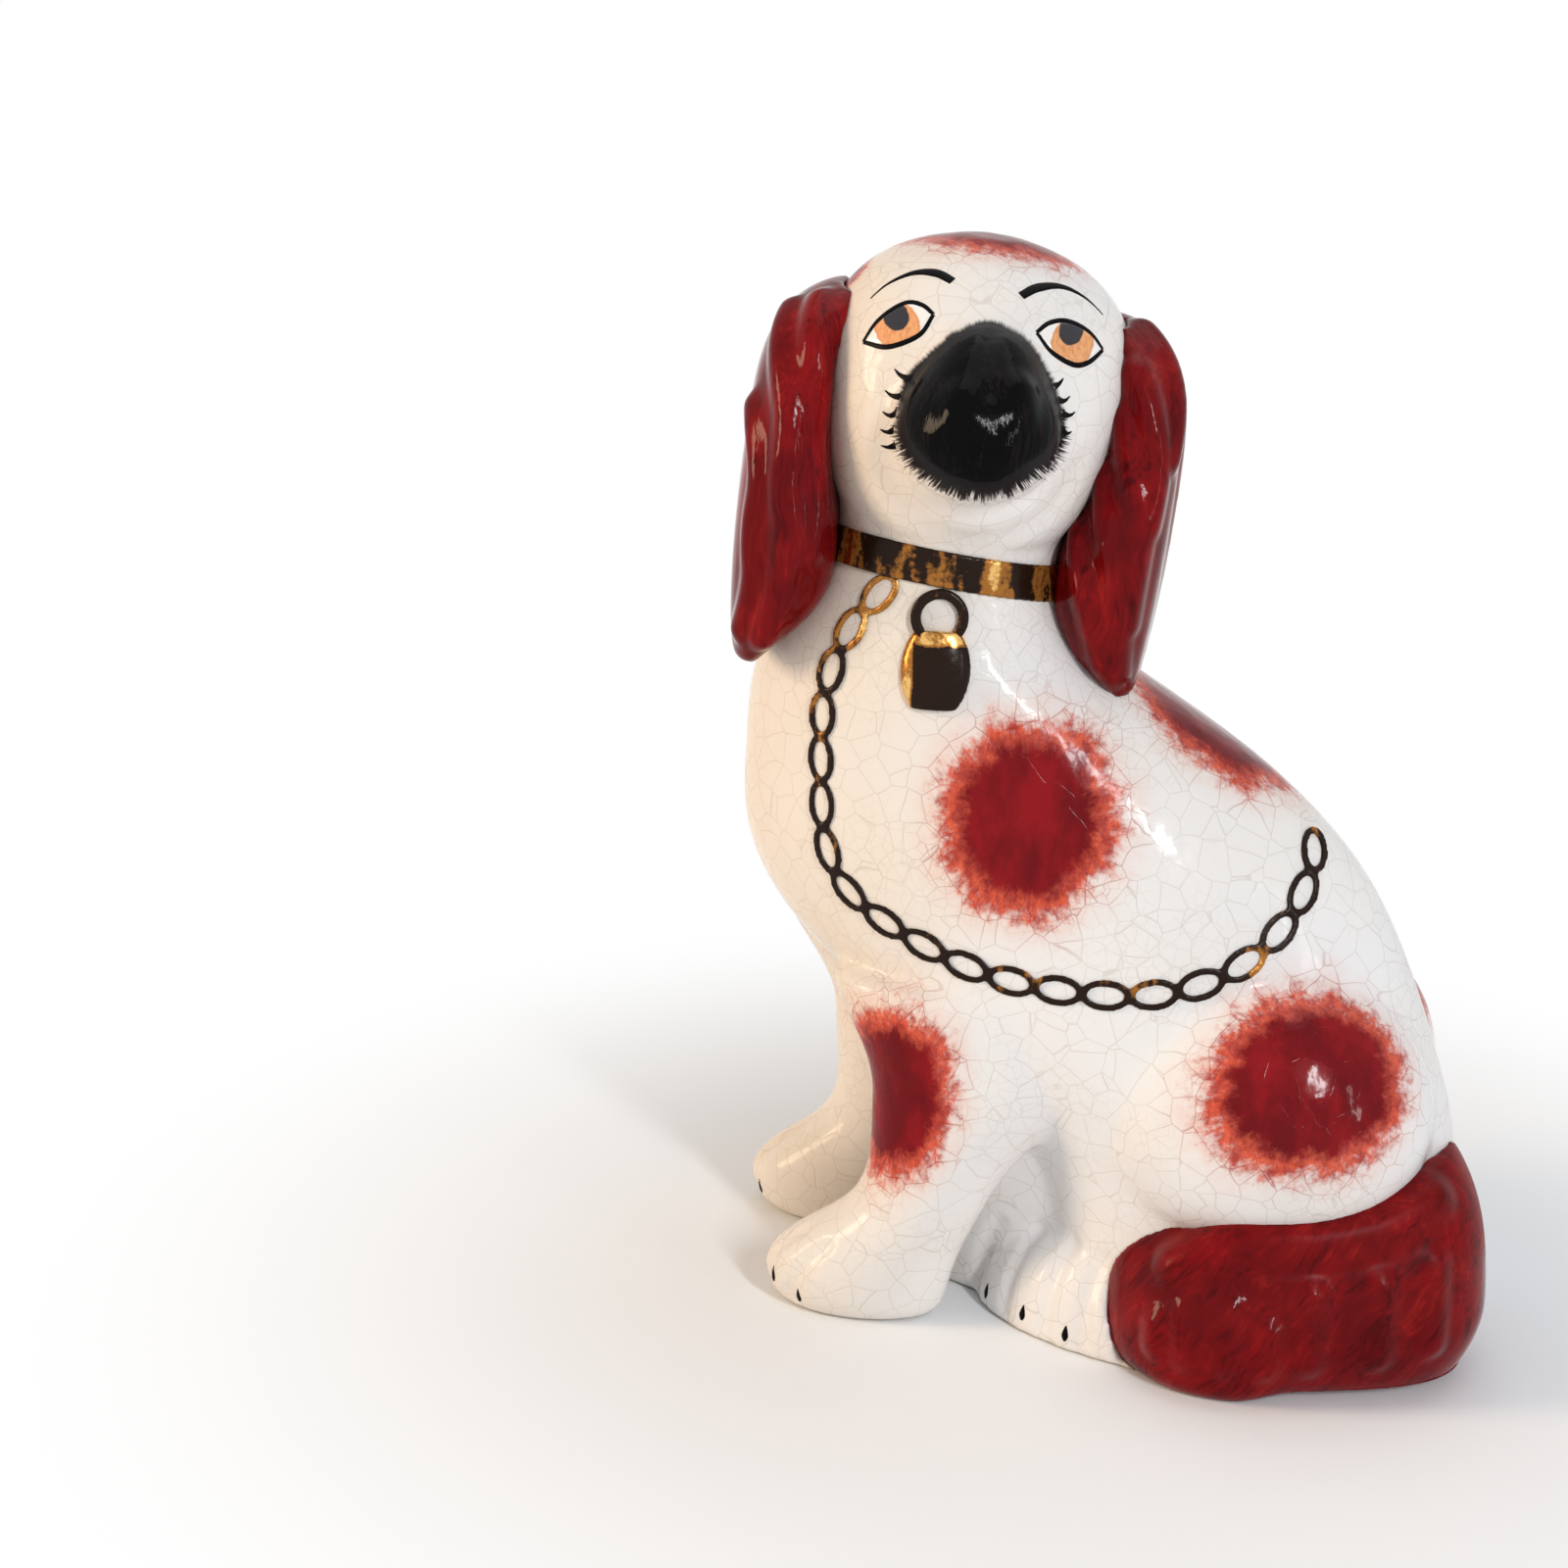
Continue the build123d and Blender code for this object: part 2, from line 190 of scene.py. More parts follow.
class Effects:
    """Shader groups that more than one finish uses."""

    def __init__(self) -> None:
        """Builds the groups once."""
        self.crazing = self._crazing()
        self.brush_patch = self._brush_patch()
        self.streaks = self._streaks()

    @staticmethod
    def _group(name: str, values: Sequence[str], gives: Sequence[str]) -> tuple[Graph, Outputs]:
        """A new group that takes a vector and some values, with its graph and its inputs."""
        tree = bpy.data.node_groups.new(name, "ShaderNodeTree")
        tree.interface.new_socket("Vector", in_out="INPUT", socket_type="NodeSocketVector")
        for socket in values:
            tree.interface.new_socket(socket, in_out="INPUT", socket_type="NodeSocketFloat")
        for socket in gives:
            tree.interface.new_socket(socket, in_out="OUTPUT", socket_type="NodeSocketFloat")
        graph = Graph(tree)
        return graph, graph.node("NodeGroupInput").outputs

    def _crazing(self) -> Tree:
        """Fine crackle of an old glaze: thin lines between warped cells."""
        graph, source = self._group("glaze_crazing", ("Cell", "Width"), ("Line",))
        cells = graph.scaled(source["Vector"], graph.math("DIVIDE", 1.0, source["Cell"]))
        warp = graph.noise(cells, 0.9, 2.0, 0.5, "Color")
        bent = graph.vector("ADD", cells, graph.scaled(warp, 0.22))
        cell = graph.node("ShaderNodeTexVoronoi", {"Vector": bent, "Scale": 1.0}, feature="DISTANCE_TO_EDGE")
        share = graph.math("DIVIDE", graph.times(cell.outputs["Distance"], source["Cell"]), source["Width"])
        graph.node("NodeGroupOutput", {"Line": graph.step(share, 0.25, 1.0, 1.0, 0.0)})
        return graph.tree

    def _brush_patch(self) -> Tree:
        """A dabbed patch in unit coordinates: dense core, brushed edge and stained halo."""
        graph, source = self._group("brushed_patch", ("Seed",), ("Core", "Edge", "Halo"))
        unit, seed = source["Vector"], source["Seed"]
        offset = graph.node("ShaderNodeCombineXYZ", {0: seed, 1: seed, 2: seed}).outputs[0]
        heading = graph.vector("ADD", graph.vector("NORMALIZE", unit), offset)
        rays = graph.vector("ADD", heading, graph.scaled(unit, 0.35))
        broad = graph.minus(graph.noise(heading, 1.6, 2.0), 0.5)
        hairs = graph.minus(graph.noise(rays, 15.0, 4.0, 0.7), 0.5)
        grain = graph.minus(graph.noise(graph.vector("ADD", unit, offset), 6.5, 5.0, 0.70), 0.5)
        rim = graph.plus(graph.length(unit), graph.times(broad, 0.36))
        brushed = graph.plus(graph.times(hairs, 0.30), graph.times(grain, 0.62))
        graph.node("NodeGroupOutput", {
            "Core": graph.step(graph.plus(rim, graph.times(brushed, 0.55)), 0.64, 0.84, 1.0, 0.0),
            "Edge": graph.step(graph.plus(rim, brushed), 0.84, 1.10, 1.0, 0.0),
            "Halo": graph.step(graph.plus(rim, graph.times(brushed, 0.4)), 0.88, 1.42, 1.0, 0.0),
        })
        return graph.tree

    def _streaks(self) -> Tree:
        """Brush streaks drawn out along one direction, in millimetres."""
        graph, source = self._group("brush_streaks", ("Fine",), ("Value", "Hair"))
        sway = graph.scaled(graph.noise(source["Vector"], 0.06, 1.0, 0.5, "Color"), 9.0)
        drawn = graph.vector("MULTIPLY", graph.vector("ADD", source["Vector"], sway), (1.0, 1.0, 0.12))
        hair = graph.noise(drawn, source["Fine"], 2.0, 0.5)
        value = graph.plus(graph.times(graph.noise(drawn, 0.22, 3.0, 0.6), 0.6), graph.times(hair, 0.4))
        graph.node("NodeGroupOutput", {"Value": value, "Hair": hair})
        return graph.tree


@dataclass(frozen=True)
class Patch:
    """One painted patch: its middle and half sizes in millimetres, and its turn in degrees."""

    place: Point
    size: Point
    turn: Point
    seed: float

    def masks(self, graph: Graph, effects: Effects, place: Socket) -> Outputs:
        """The patch's core, edge and halo masks at a place on the surface."""
        unit = graph.mapped(place, self.place, radians(self.turn), self.size)
        return graph.group(effects.brush_patch, Vector=unit, Seed=self.seed)


RED_PATCHES: tuple[Patch, ...] = (
    Patch((-17.9, -32.0, 122.9), (20.5, 26.0, 22.5), (0.0, 8.0, 0.0), 1.3),
    Patch((45.5, -36.0, 72.0), (24.5, 24.0, 20.5), (0.0, -18.0, 0.0), 4.1),
    Patch((-45.0, -29.0, 55.5), (15.5, 20.0, 22.5), (0.0, 12.0, 0.0), 7.7),
    Patch((16.0, 4.0, 136.0), (22.5, 18.0, 12.5), (0.0, 33.0, 0.0), 9.2),
    Patch((-37.0, 8.0, 240.0), (25.0, 20.0, 10.5), (0.0, 4.0, 0.0), 12.5),
    Patch((-67.0, -3.0, 229.5), (7.0, 8.0, 6.0), (0.0, -30.0, 0.0), 27.3),
    Patch((66.0, 19.0, 86.0), (17.0, 16.0, 17.0), (0.0, 25.0, 0.0), 15.1),
    Patch((-12.0, 40.0, 112.0), (22.0, 22.0, 24.0), (0.0, -10.0, 0.0), 18.4),
    Patch((40.0, 48.0, 60.0), (21.0, 20.0, 18.0), (0.0, 12.0, 0.0), 21.9),
    Patch((-52.0, 38.0, 60.0), (14.0, 16.0, 18.0), (0.0, 0.0, 0.0), 24.6),
)
SNOUT_MIDDLE: Point = (-31.5, -36.0, 207.0)
SNOUT_AXIS: Point = (-0.120, 0.973, -0.197)
SNOUT_RIM: tuple[Point, ...] = (
    (-18.7, -27.0, 212.0), (-17.7, -27.1, 209.5), (-17.0, -26.8, 206.5), (-16.1, -35.4, 204.6),
    (-16.8, -38.4, 202.2), (-18.6, -41.5, 200.5), (-21.0, -43.9, 199.2), (-23.5, -45.5, 197.8),
    (-26.2, -46.6, 196.4), (-29.4, -47.7, 196.0), (-32.6, -48.3, 196.3), (-36.0, -48.1, 196.9),
    (-39.6, -47.1, 198.0), (-42.6, -45.7, 199.5), (-45.1, -44.1, 201.3), (-46.9, -42.3, 203.4),
    (-48.0, -40.2, 206.1), (-48.3, -37.3, 208.5), (-48.6, -32.8, 210.8), (-47.9, -31.8, 213.5),
    (-46.2, -31.5, 215.8), (-44.3, -31.6, 217.7), (-42.8, -31.6, 219.4), (-41.0, -32.5, 221.1),
    (-39.6, -31.8, 222.7), (-37.4, -31.9, 223.8), (-35.7, -30.3, 224.7), (-33.7, -27.5, 224.9),
    (-31.4, -26.6, 224.8), (-28.8, -28.3, 224.2), (-26.4, -29.4, 223.4), (-24.6, -29.2, 222.1),
    (-23.1, -29.1, 220.4), (-22.0, -28.1, 218.5), (-20.8, -27.9, 216.4), (-19.7, -26.6, 214.2),
)
TOE_GROOVES: tuple[tuple[Point, ...], ...] = (
    ((-72.0, -20.5, 5.0), (-69.0, -21.0, 12.9), (-63.0, -21.5, 18.5)),
    ((-66.0, -28.0, 3.5), (-64.0, -28.3, 11.5), (-57.0, -28.0, 17.5)),
    ((-83.5, 27.5, 4.0), (-80.5, 27.0, 13.5), (-72.0, 26.5, 20.0)),
    ((-81.0, 34.0, 3.0), (-78.0, 34.0, 11.5), (-70.0, 33.5, 18.5)),
    ((-26.5, -8.0, 4.0), (-25.0, -8.5, 12.0), (-20.0, -7.0, 20.0)),
    ((-17.1, -18.8, 3.0), (-15.7, -16.5, 13.5), (-11.1, -12.1, 21.0)),
    ((-7.9, -25.9, 3.0), (-6.5, -23.7, 14.5), (-2.7, -19.4, 22.5)),
    ((0.8, -30.5, 3.0), (1.4, -28.0, 13.9), (3.5, -24.6, 20.5)),
    ((-18.5, 25.5, 2.0), (-15.0, 23.5, 13.0), (-8.0, 20.0, 20.0)),
    ((-8.5, 32.0, 2.0), (-6.0, 29.5, 13.5), (0.0, 26.0, 20.5)),
)
JAW_FOLD: tuple[Point, ...] = (
    (-51.4, -31.1, 195.9), (-49.2, -30.3, 188.8), (-44.1, -29.1, 182.8), (-35.2, -26.8, 179.6),
    (-24.5, -24.2, 181.4), (-16.2, -21.2, 188.7), (-13.7, -21.0, 196.1),
)
SNOUT_RIDGE: tuple[Point, ...] = ((-31.0, -43.0, 216.0), (-31.0, -48.0, 207.0), (-31.5, -46.0, 199.0))
SNOUT_LOBES: tuple[tuple[Point, ...], ...] = (
    ((-24.1, -40.9, 214.2), (-23.6, -43.4, 210.8)),
    ((-35.0, -45.5, 212.4), (-34.6, -47.2, 209.8)),
)
SNOUT_BRIDGE: tuple[Point, ...] = (
    (-31.5, -31.9, 224.7), (-31.0, -36.7, 221.6), (-30.6, -40.3, 218.4), (-29.8, -44.5, 213.6),
)


@dataclass(frozen=True)
class Finish:
    """A finish; each kind paints its own colour, shine and fine relief."""

    name: str

    def material(self, effects: Effects) -> Material:
        """Builds the finish.

        Args:
            effects: the shared shader groups.

        Returns:
            The material.
        """
        material = bpy.data.materials.new(self.name)
        material.use_nodes = True
        graph = Graph(material.node_tree)
        shader = graph.node("ShaderNodeBsdfPrincipled")
        graph.node("ShaderNodeOutputMaterial", {"Surface": shader.outputs[0]})
        graph.feed(shader, self.paint(graph, effects, graph.millimetres()))
        return material

    def paint(self, graph: Graph, effects: Effects, place: Socket) -> Feeds:
        """Paints the surface.

        Args:
            graph: the material's graph.
            effects: the shared shader groups.
            place: the surface's place in millimetres.

        Returns:
            What feeds each input of the shader.
        """
        raise NotImplementedError


@dataclass(frozen=True)
class WhiteGlaze(Finish):
    """Cream earthenware under a crazed clear glaze, with dabbed red patches."""

    name: str = "white_glaze"
    pale: Colour = (0.80, 0.795, 0.795, 1.0)
    warm: Colour = (0.77, 0.68, 0.57, 1.0)
    crack: Colour = (0.40, 0.31, 0.235, 1.0)
    blush: Colour = (0.76, 0.40, 0.31, 1.0)
    brick: Colour = (0.36, 0.018, 0.010, 1.0)
    orange: Colour = (0.66, 0.078, 0.026, 1.0)
    deep: Colour = (0.135, 0.003, 0.006, 1.0)
    full: Colour = (0.255, 0.006, 0.010, 1.0)
    black: Colour = (0.006, 0.005, 0.006, 1.0)
    clay: Colour = (0.60, 0.50, 0.39, 1.0)
    # X span over which the painted warm light on the -X side fades out
    warm_light_from: Span = (-68.0, -16.0)
    bare_foot: Span = (0.15, 0.6)
    shine: Span = (0.06, 0.14)
    gloss: float = 0.11
    fringe_matt: float = 0.42

    def paint(self, graph: Graph, effects: Effects, place: Socket) -> Feeds:
        """Paints the cream body with painted warm light on its -X side, its crackle and patches, the bare
        foot and the snout's black fringe.
        """
        tone = graph.step(graph.noise(place, 0.018, 2.0), 0.35, 0.70, 0.0, 0.32)
        # painted warm light: the -X side is tinted beige as if lit by a warm lamp from the left
        painted_warm_light = graph.step(graph.axis(place, "X"), *self.warm_light_from, 0.6, 0.0)
        colour = graph.mix(graph.plus(tone, painted_warm_light), self.pale, self.warm)
        lines = self._crackle(graph, effects, place)
        colour = graph.mix(graph.times(lines, 0.27), colour, self.crack)
        masks: Feeds = {"Core": 0.0, "Edge": 0.0, "Halo": 0.0}
        for patch in RED_PATCHES:
            dabbed = patch.masks(graph, effects, place)
            masks = {name: graph.most(mask, dabbed[name]) for name, mask in masks.items()}
        colour = self._patches(graph, place, colour, lines, masks)
        colour = graph.mix(graph.step(graph.axis(place, "Z"), *self.bare_foot, 1.0, 0.0), colour, self.clay)
        dark = self._snout_fringe(graph, place)
        shine = graph.step(graph.noise(place, 0.05, 3.0), 0.2, 0.8, *self.shine)
        ripple = graph.times(graph.noise(place, 0.07, 2.0), 1.1)
        ripple = graph.plus(ripple, graph.times(graph.noise(place, 0.28, 2.0), 0.24))
        height = graph.minus(ripple, graph.times(lines, 0.07))
        height = graph.plus(height, graph.times(masks["Edge"], 0.10))
        return {
            "Base Color": graph.mix(dark, colour, self.black),
            "Roughness": graph.most(shine, graph.times(dark, self.fringe_matt)),
            "Specular IOR Level": self.gloss,
            "Normal": graph.bump(height, 0.35, 1.0),
        }

    @staticmethod
    def _crackle(graph: Graph, effects: Effects, place: Socket) -> Socket:
        """Mask of the crackle: a wide net, and a finer one here and there."""
        large = graph.group(effects.crazing, Vector=place, Cell=6.2, Width=0.15)
        fine = graph.group(effects.crazing, Vector=place, Cell=3.4, Width=0.11)
        here = graph.step(graph.noise(place, 0.035, 2.0), 0.40, 0.62, 0.0, 0.7)
        return graph.most(large["Line"], graph.times(fine["Line"], here))

    def _patches(self, graph: Graph, place: Socket, colour: Socket, lines: Socket, masks: Feeds) -> Socket:
        """Colour with the patches on it: stained halo, brushed edge and washed core."""
        cloud = graph.step(graph.noise(place, 0.20, 4.0, 0.65), 0.25, 0.75, 0.12, 0.62)
        colour = graph.mix(graph.times(masks["Halo"], cloud), colour, self.blush)
        colour = graph.mix(graph.times(lines, graph.times(masks["Halo"], 0.55)), colour, self.brick)
        dabs = graph.noise(graph.vector("MULTIPLY", place, (1.0, 1.0, 0.6)), 0.50, 5.0, 0.70)
        edge = graph.mix(graph.step(dabs, 0.38, 0.64), self.brick, self.orange)
        colour = graph.mix(graph.times(masks["Edge"], 0.94), colour, edge)
        wash = graph.noise(graph.vector("MULTIPLY", place, (1.0, 1.0, 0.45)), 0.13, 4.0, 0.62)
        return graph.mix(masks["Core"], colour, graph.mix(graph.step(wash, 0.32, 0.70), self.deep, self.full))

    @staticmethod
    def _snout_fringe(graph: Graph, place: Socket) -> Socket:
        """Mask of the black that is brushed out past the snout, longest underneath."""
        from_snout = graph.vector("SUBTRACT", place, SNOUT_MIDDLE)
        across = graph.vector("SUBTRACT", from_snout, graph.vector("PROJECT", from_snout, SNOUT_AXIS))
        heading = graph.vector("NORMALIZE", across)
        rays = graph.vector("ADD", heading, graph.scaled(from_snout, 0.0014))
        hairs = graph.step(graph.noise(rays, 38.0, 4.0, 0.75), 0.30, 0.74)
        below = graph.step(graph.axis(heading, "Z"), -0.75, 0.35, 1.0, 0.0)
        reach = graph.times(hairs, graph.plus(0.6, graph.times(below, 4.0)))
        return graph.step(graph.minus(graph.snout_gap(), reach), -0.2, 0.9, 1.0, 0.0)


@dataclass(frozen=True)
class RedEnamel(Finish):
    """Thick deep red enamel, brushed on along the fur."""

    name: str = "red_enamel"
    dark: Colour = (0.062, 0.0016, 0.0028, 1.0)
    full: Colour = (0.205, 0.004, 0.006, 1.0)
    bright: Colour = (0.33, 0.014, 0.009, 1.0)
    turn: Point = (0.0, 0.0, 0.0)
    dull_heights: Span = (900.0, 901.0)
    dull: float = 0.42
    shine: Span = (0.05, 0.11)
    gloss: float = 0.08

    def paint(self, graph: Graph, effects: Effects, place: Socket) -> Feeds:
        """Paints clouded streaks along the fur."""
        along = graph.mapped(place, (0.0, 0.0, 0.0), radians(self.turn), (1.0, 1.0, 1.0))
        strokes = graph.group(effects.streaks, Vector=along, Fine=1.1)
        cloud = graph.step(graph.noise(place, 0.055, 3.0), 0.36, 0.64)
        low = graph.step(strokes["Value"], 0.30, 0.52)
        low = graph.times(low, graph.plus(0.45, graph.times(cloud, 0.55)))
        high = graph.step(strokes["Value"], 0.52, 0.70)
        high = graph.times(high, graph.plus(0.25, graph.times(cloud, 0.6)))
        shine = graph.step(strokes["Hair"], 0.3, 0.7, *self.shine)
        dull = graph.step(graph.axis(place, "Z"), *self.dull_heights, 0.0, self.dull)
        return {
            "Base Color": graph.mix(high, graph.mix(low, self.dark, self.full), self.bright),
            "Roughness": graph.most(shine, dull),
            "Specular IOR Level": self.gloss,
            "Normal": graph.bump(strokes["Value"], 0.2, 0.6),
        }


@dataclass(frozen=True)
class BlackEnamel(Finish):
    """Glossy black enamel with a faint brown bloom."""

    name: str = "black_enamel"
    black: Colour = (0.002, 0.002, 0.0025, 1.0)
    bloom: Colour = (0.012, 0.008, 0.007, 1.0)
    matt_rim: Span = (-3.6, -0.8)
    matt: float = 0.38
    shine: Span = (0.04, 0.09)
    gloss: float = 0.05

    def paint(self, graph: Graph, effects: Effects, place: Socket) -> Feeds:
        """Paints faint streaks, matt towards the snout's rim."""
        strokes = graph.group(effects.streaks, Vector=place, Fine=1.4)
        shine = graph.step(strokes["Hair"], 0.3, 0.7, *self.shine)
        return {
            "Base Color": graph.mix(graph.step(strokes["Value"], 0.48, 0.72), self.black, self.bloom),
            "Roughness": graph.most(shine, graph.step(graph.snout_gap(), *self.matt_rim, 0.0, self.matt)),
            "Specular IOR Level": self.gloss,
            "Normal": graph.bump(strokes["Value"], 0.2, 0.5),
        }


@dataclass(frozen=True)
class GoldLustre(Finish):
    """Gold lustre with painted reflections: umber drifts stand for dark surroundings mirrored in the gold,
    amber and gold drifts for bright ones.
    """

    name: str = "gold_lustre"
    gold: Colour = (0.83, 0.50, 0.17, 1.0)
    amber: Colour = (0.36, 0.145, 0.030, 1.0)
    umber: Colour = (0.016, 0.007, 0.004, 1.0)
    dark_reflection_shift: Span = (0.0, 0.0)
    dark_reflection_heights: Span = (0.0, 1.0)
    rim_middle: Optional[Point] = None
    rim_reach: Span = (4.6, 5.4)
    rim_blur: float = 0.7
    rim_gain: float = 0.30
    shine: Span = (0.13, 0.30)
    gloss: float = 0.12

    def paint(self, graph: Graph, effects: Effects, place: Socket) -> Feeds:
        """Paints drifts of gold and amber over the umber, as painted reflections."""
        drift = graph.noise(graph.vector("MULTIPLY", place, (1.0, 1.0, 0.30)), 0.11, 3.0, 0.6)
        grain = graph.noise(place, 0.8, 3.0, 0.65)
        painted_reflection = graph.plus(drift, graph.times(graph.minus(grain, 0.5), 0.22))
        # painted reflection: shifts the drifts towards umber, by height where the two values differ
        painted_reflection = graph.minus(painted_reflection, graph.step(graph.axis(place, "Z"), *self.dark_reflection_heights, *self.dark_reflection_shift))
        # painted highlight: gold along the piece's left side and top
        if self.rim_middle is not None:
            painted_reflection = graph.plus(painted_reflection, self._rim(graph, place))
        # painted reflection: umber where dark surroundings would be mirrored, amber and gold where bright
        # ones would
        colour = graph.mix(graph.step(painted_reflection, 0.47, 0.55), self.umber, self.amber)
        return {
            "Base Color": graph.mix(graph.step(painted_reflection, 0.60, 0.68), colour, self.gold),
            "Metallic": graph.step(painted_reflection, 0.48, 0.62, 0.05, 0.95),
            "Roughness": graph.step(grain, 0.3, 0.7, *self.shine),
            "Specular IOR Level": self.gloss,
            "Normal": graph.bump(grain, 0.25, 0.2),
        }

    def _rim(self, graph: Graph, place: Socket) -> Socket:
        """Mask of a painted gold highlight along one side and the top."""
        side, top = self.rim_reach
        blur, gain = self.rim_blur, self.rim_gain
        offset = graph.vector("SUBTRACT", place, self.rim_middle)
        left = graph.step(graph.axis(offset, "X"), -side - blur, -side + blur, gain, 0.0)
        above = graph.step(graph.axis(offset, "Z"), top - blur, top + blur, 0.0, gain)
        return graph.most(left, above)


@dataclass(frozen=True)
class EyeEnamel(Finish):
    """White of one eye with an orange iris and a dark pupil, painted as seen from before the face."""

    iris_place: Point
    pupil_place: Point
    iris_radius: float = 4.7
    pupil_radius: float = 2.65
    depth: float = 100.0
    facing: float = 10.5
    white: Colour = (0.84, 0.82, 0.79, 1.0)
    iris: Colour = (0.78, 0.370, 0.150, 1.0)
    rust: Colour = (0.58, 0.170, 0.048, 1.0)
    pupil: Colour = (0.012, 0.010, 0.016, 1.0)

    def paint(self, graph: Graph, effects: Effects, place: Socket) -> Feeds:
        """Paints the iris and the pupil with an unsteady rim."""
        wobble = graph.times(graph.minus(graph.noise(place, 0.8, 2.0), 0.5), 0.16)
        ring = graph.plus(self._from(graph, place, self.iris_place, self.iris_radius), wobble)
        spot = graph.plus(self._from(graph, place, self.pupil_place, self.pupil_radius), wobble)
        strokes = graph.noise(graph.vector("MULTIPLY", place, (1.0, 1.0, 0.35)), 1.2, 3.0)
        strokes = graph.step(strokes, 0.40, 0.66)
        shade = graph.most(graph.times(strokes, 0.55), graph.step(ring, 0.80, 1.0, 0.0, 0.55))
        orange = graph.mix(shade, self.iris, self.rust)
        colour = graph.mix(graph.step(ring, 0.95, 1.02, 1.0, 0.0), self.white, orange)
        return {
            "Base Color": graph.mix(graph.step(spot, 0.93, 1.04, 1.0, 0.0), colour, self.pupil),
            "Roughness": graph.step(strokes, 0.0, 1.0, 0.12, 0.20),
        }

    def _from(self, graph: Graph, place: Socket, middle: Point, radius: float) -> Socket:
        """Distance from a middle in the plane of the face, in radii."""
        turn = radians((0.0, 0.0, self.facing))
        return graph.length(graph.mapped(place, middle, turn, (radius, self.depth, radius)))


@dataclass(frozen=True)
class WipedBase(Finish):
    """Underside that was wiped before firing: matt body clay with stains."""

    name: str = "wiped_base"
    clay: Colour = (0.66, 0.56, 0.44, 1.0)
    stain: Colour = (0.36, 0.27, 0.19, 1.0)

    def paint(self, graph: Graph, effects: Effects, place: Socket) -> Feeds:
        """Paints stains and specks on the clay."""
        cloud = graph.step(graph.noise(place, 0.06, 4.0, 0.6), 0.40, 0.75)
        speck = graph.step(graph.noise(place, 1.3, 2.0), 0.62, 0.72)
        colour = graph.mix(graph.times(cloud, 0.6), self.clay, self.stain)
        return {
            "Base Color": graph.mix(graph.times(speck, 0.5), colour, self.stain),
            "Roughness": graph.step(cloud, 0.0, 1.0, 0.55, 0.8),
            "Normal": graph.bump(graph.noise(place, 0.9, 3.0), 0.3, 0.3),
        }


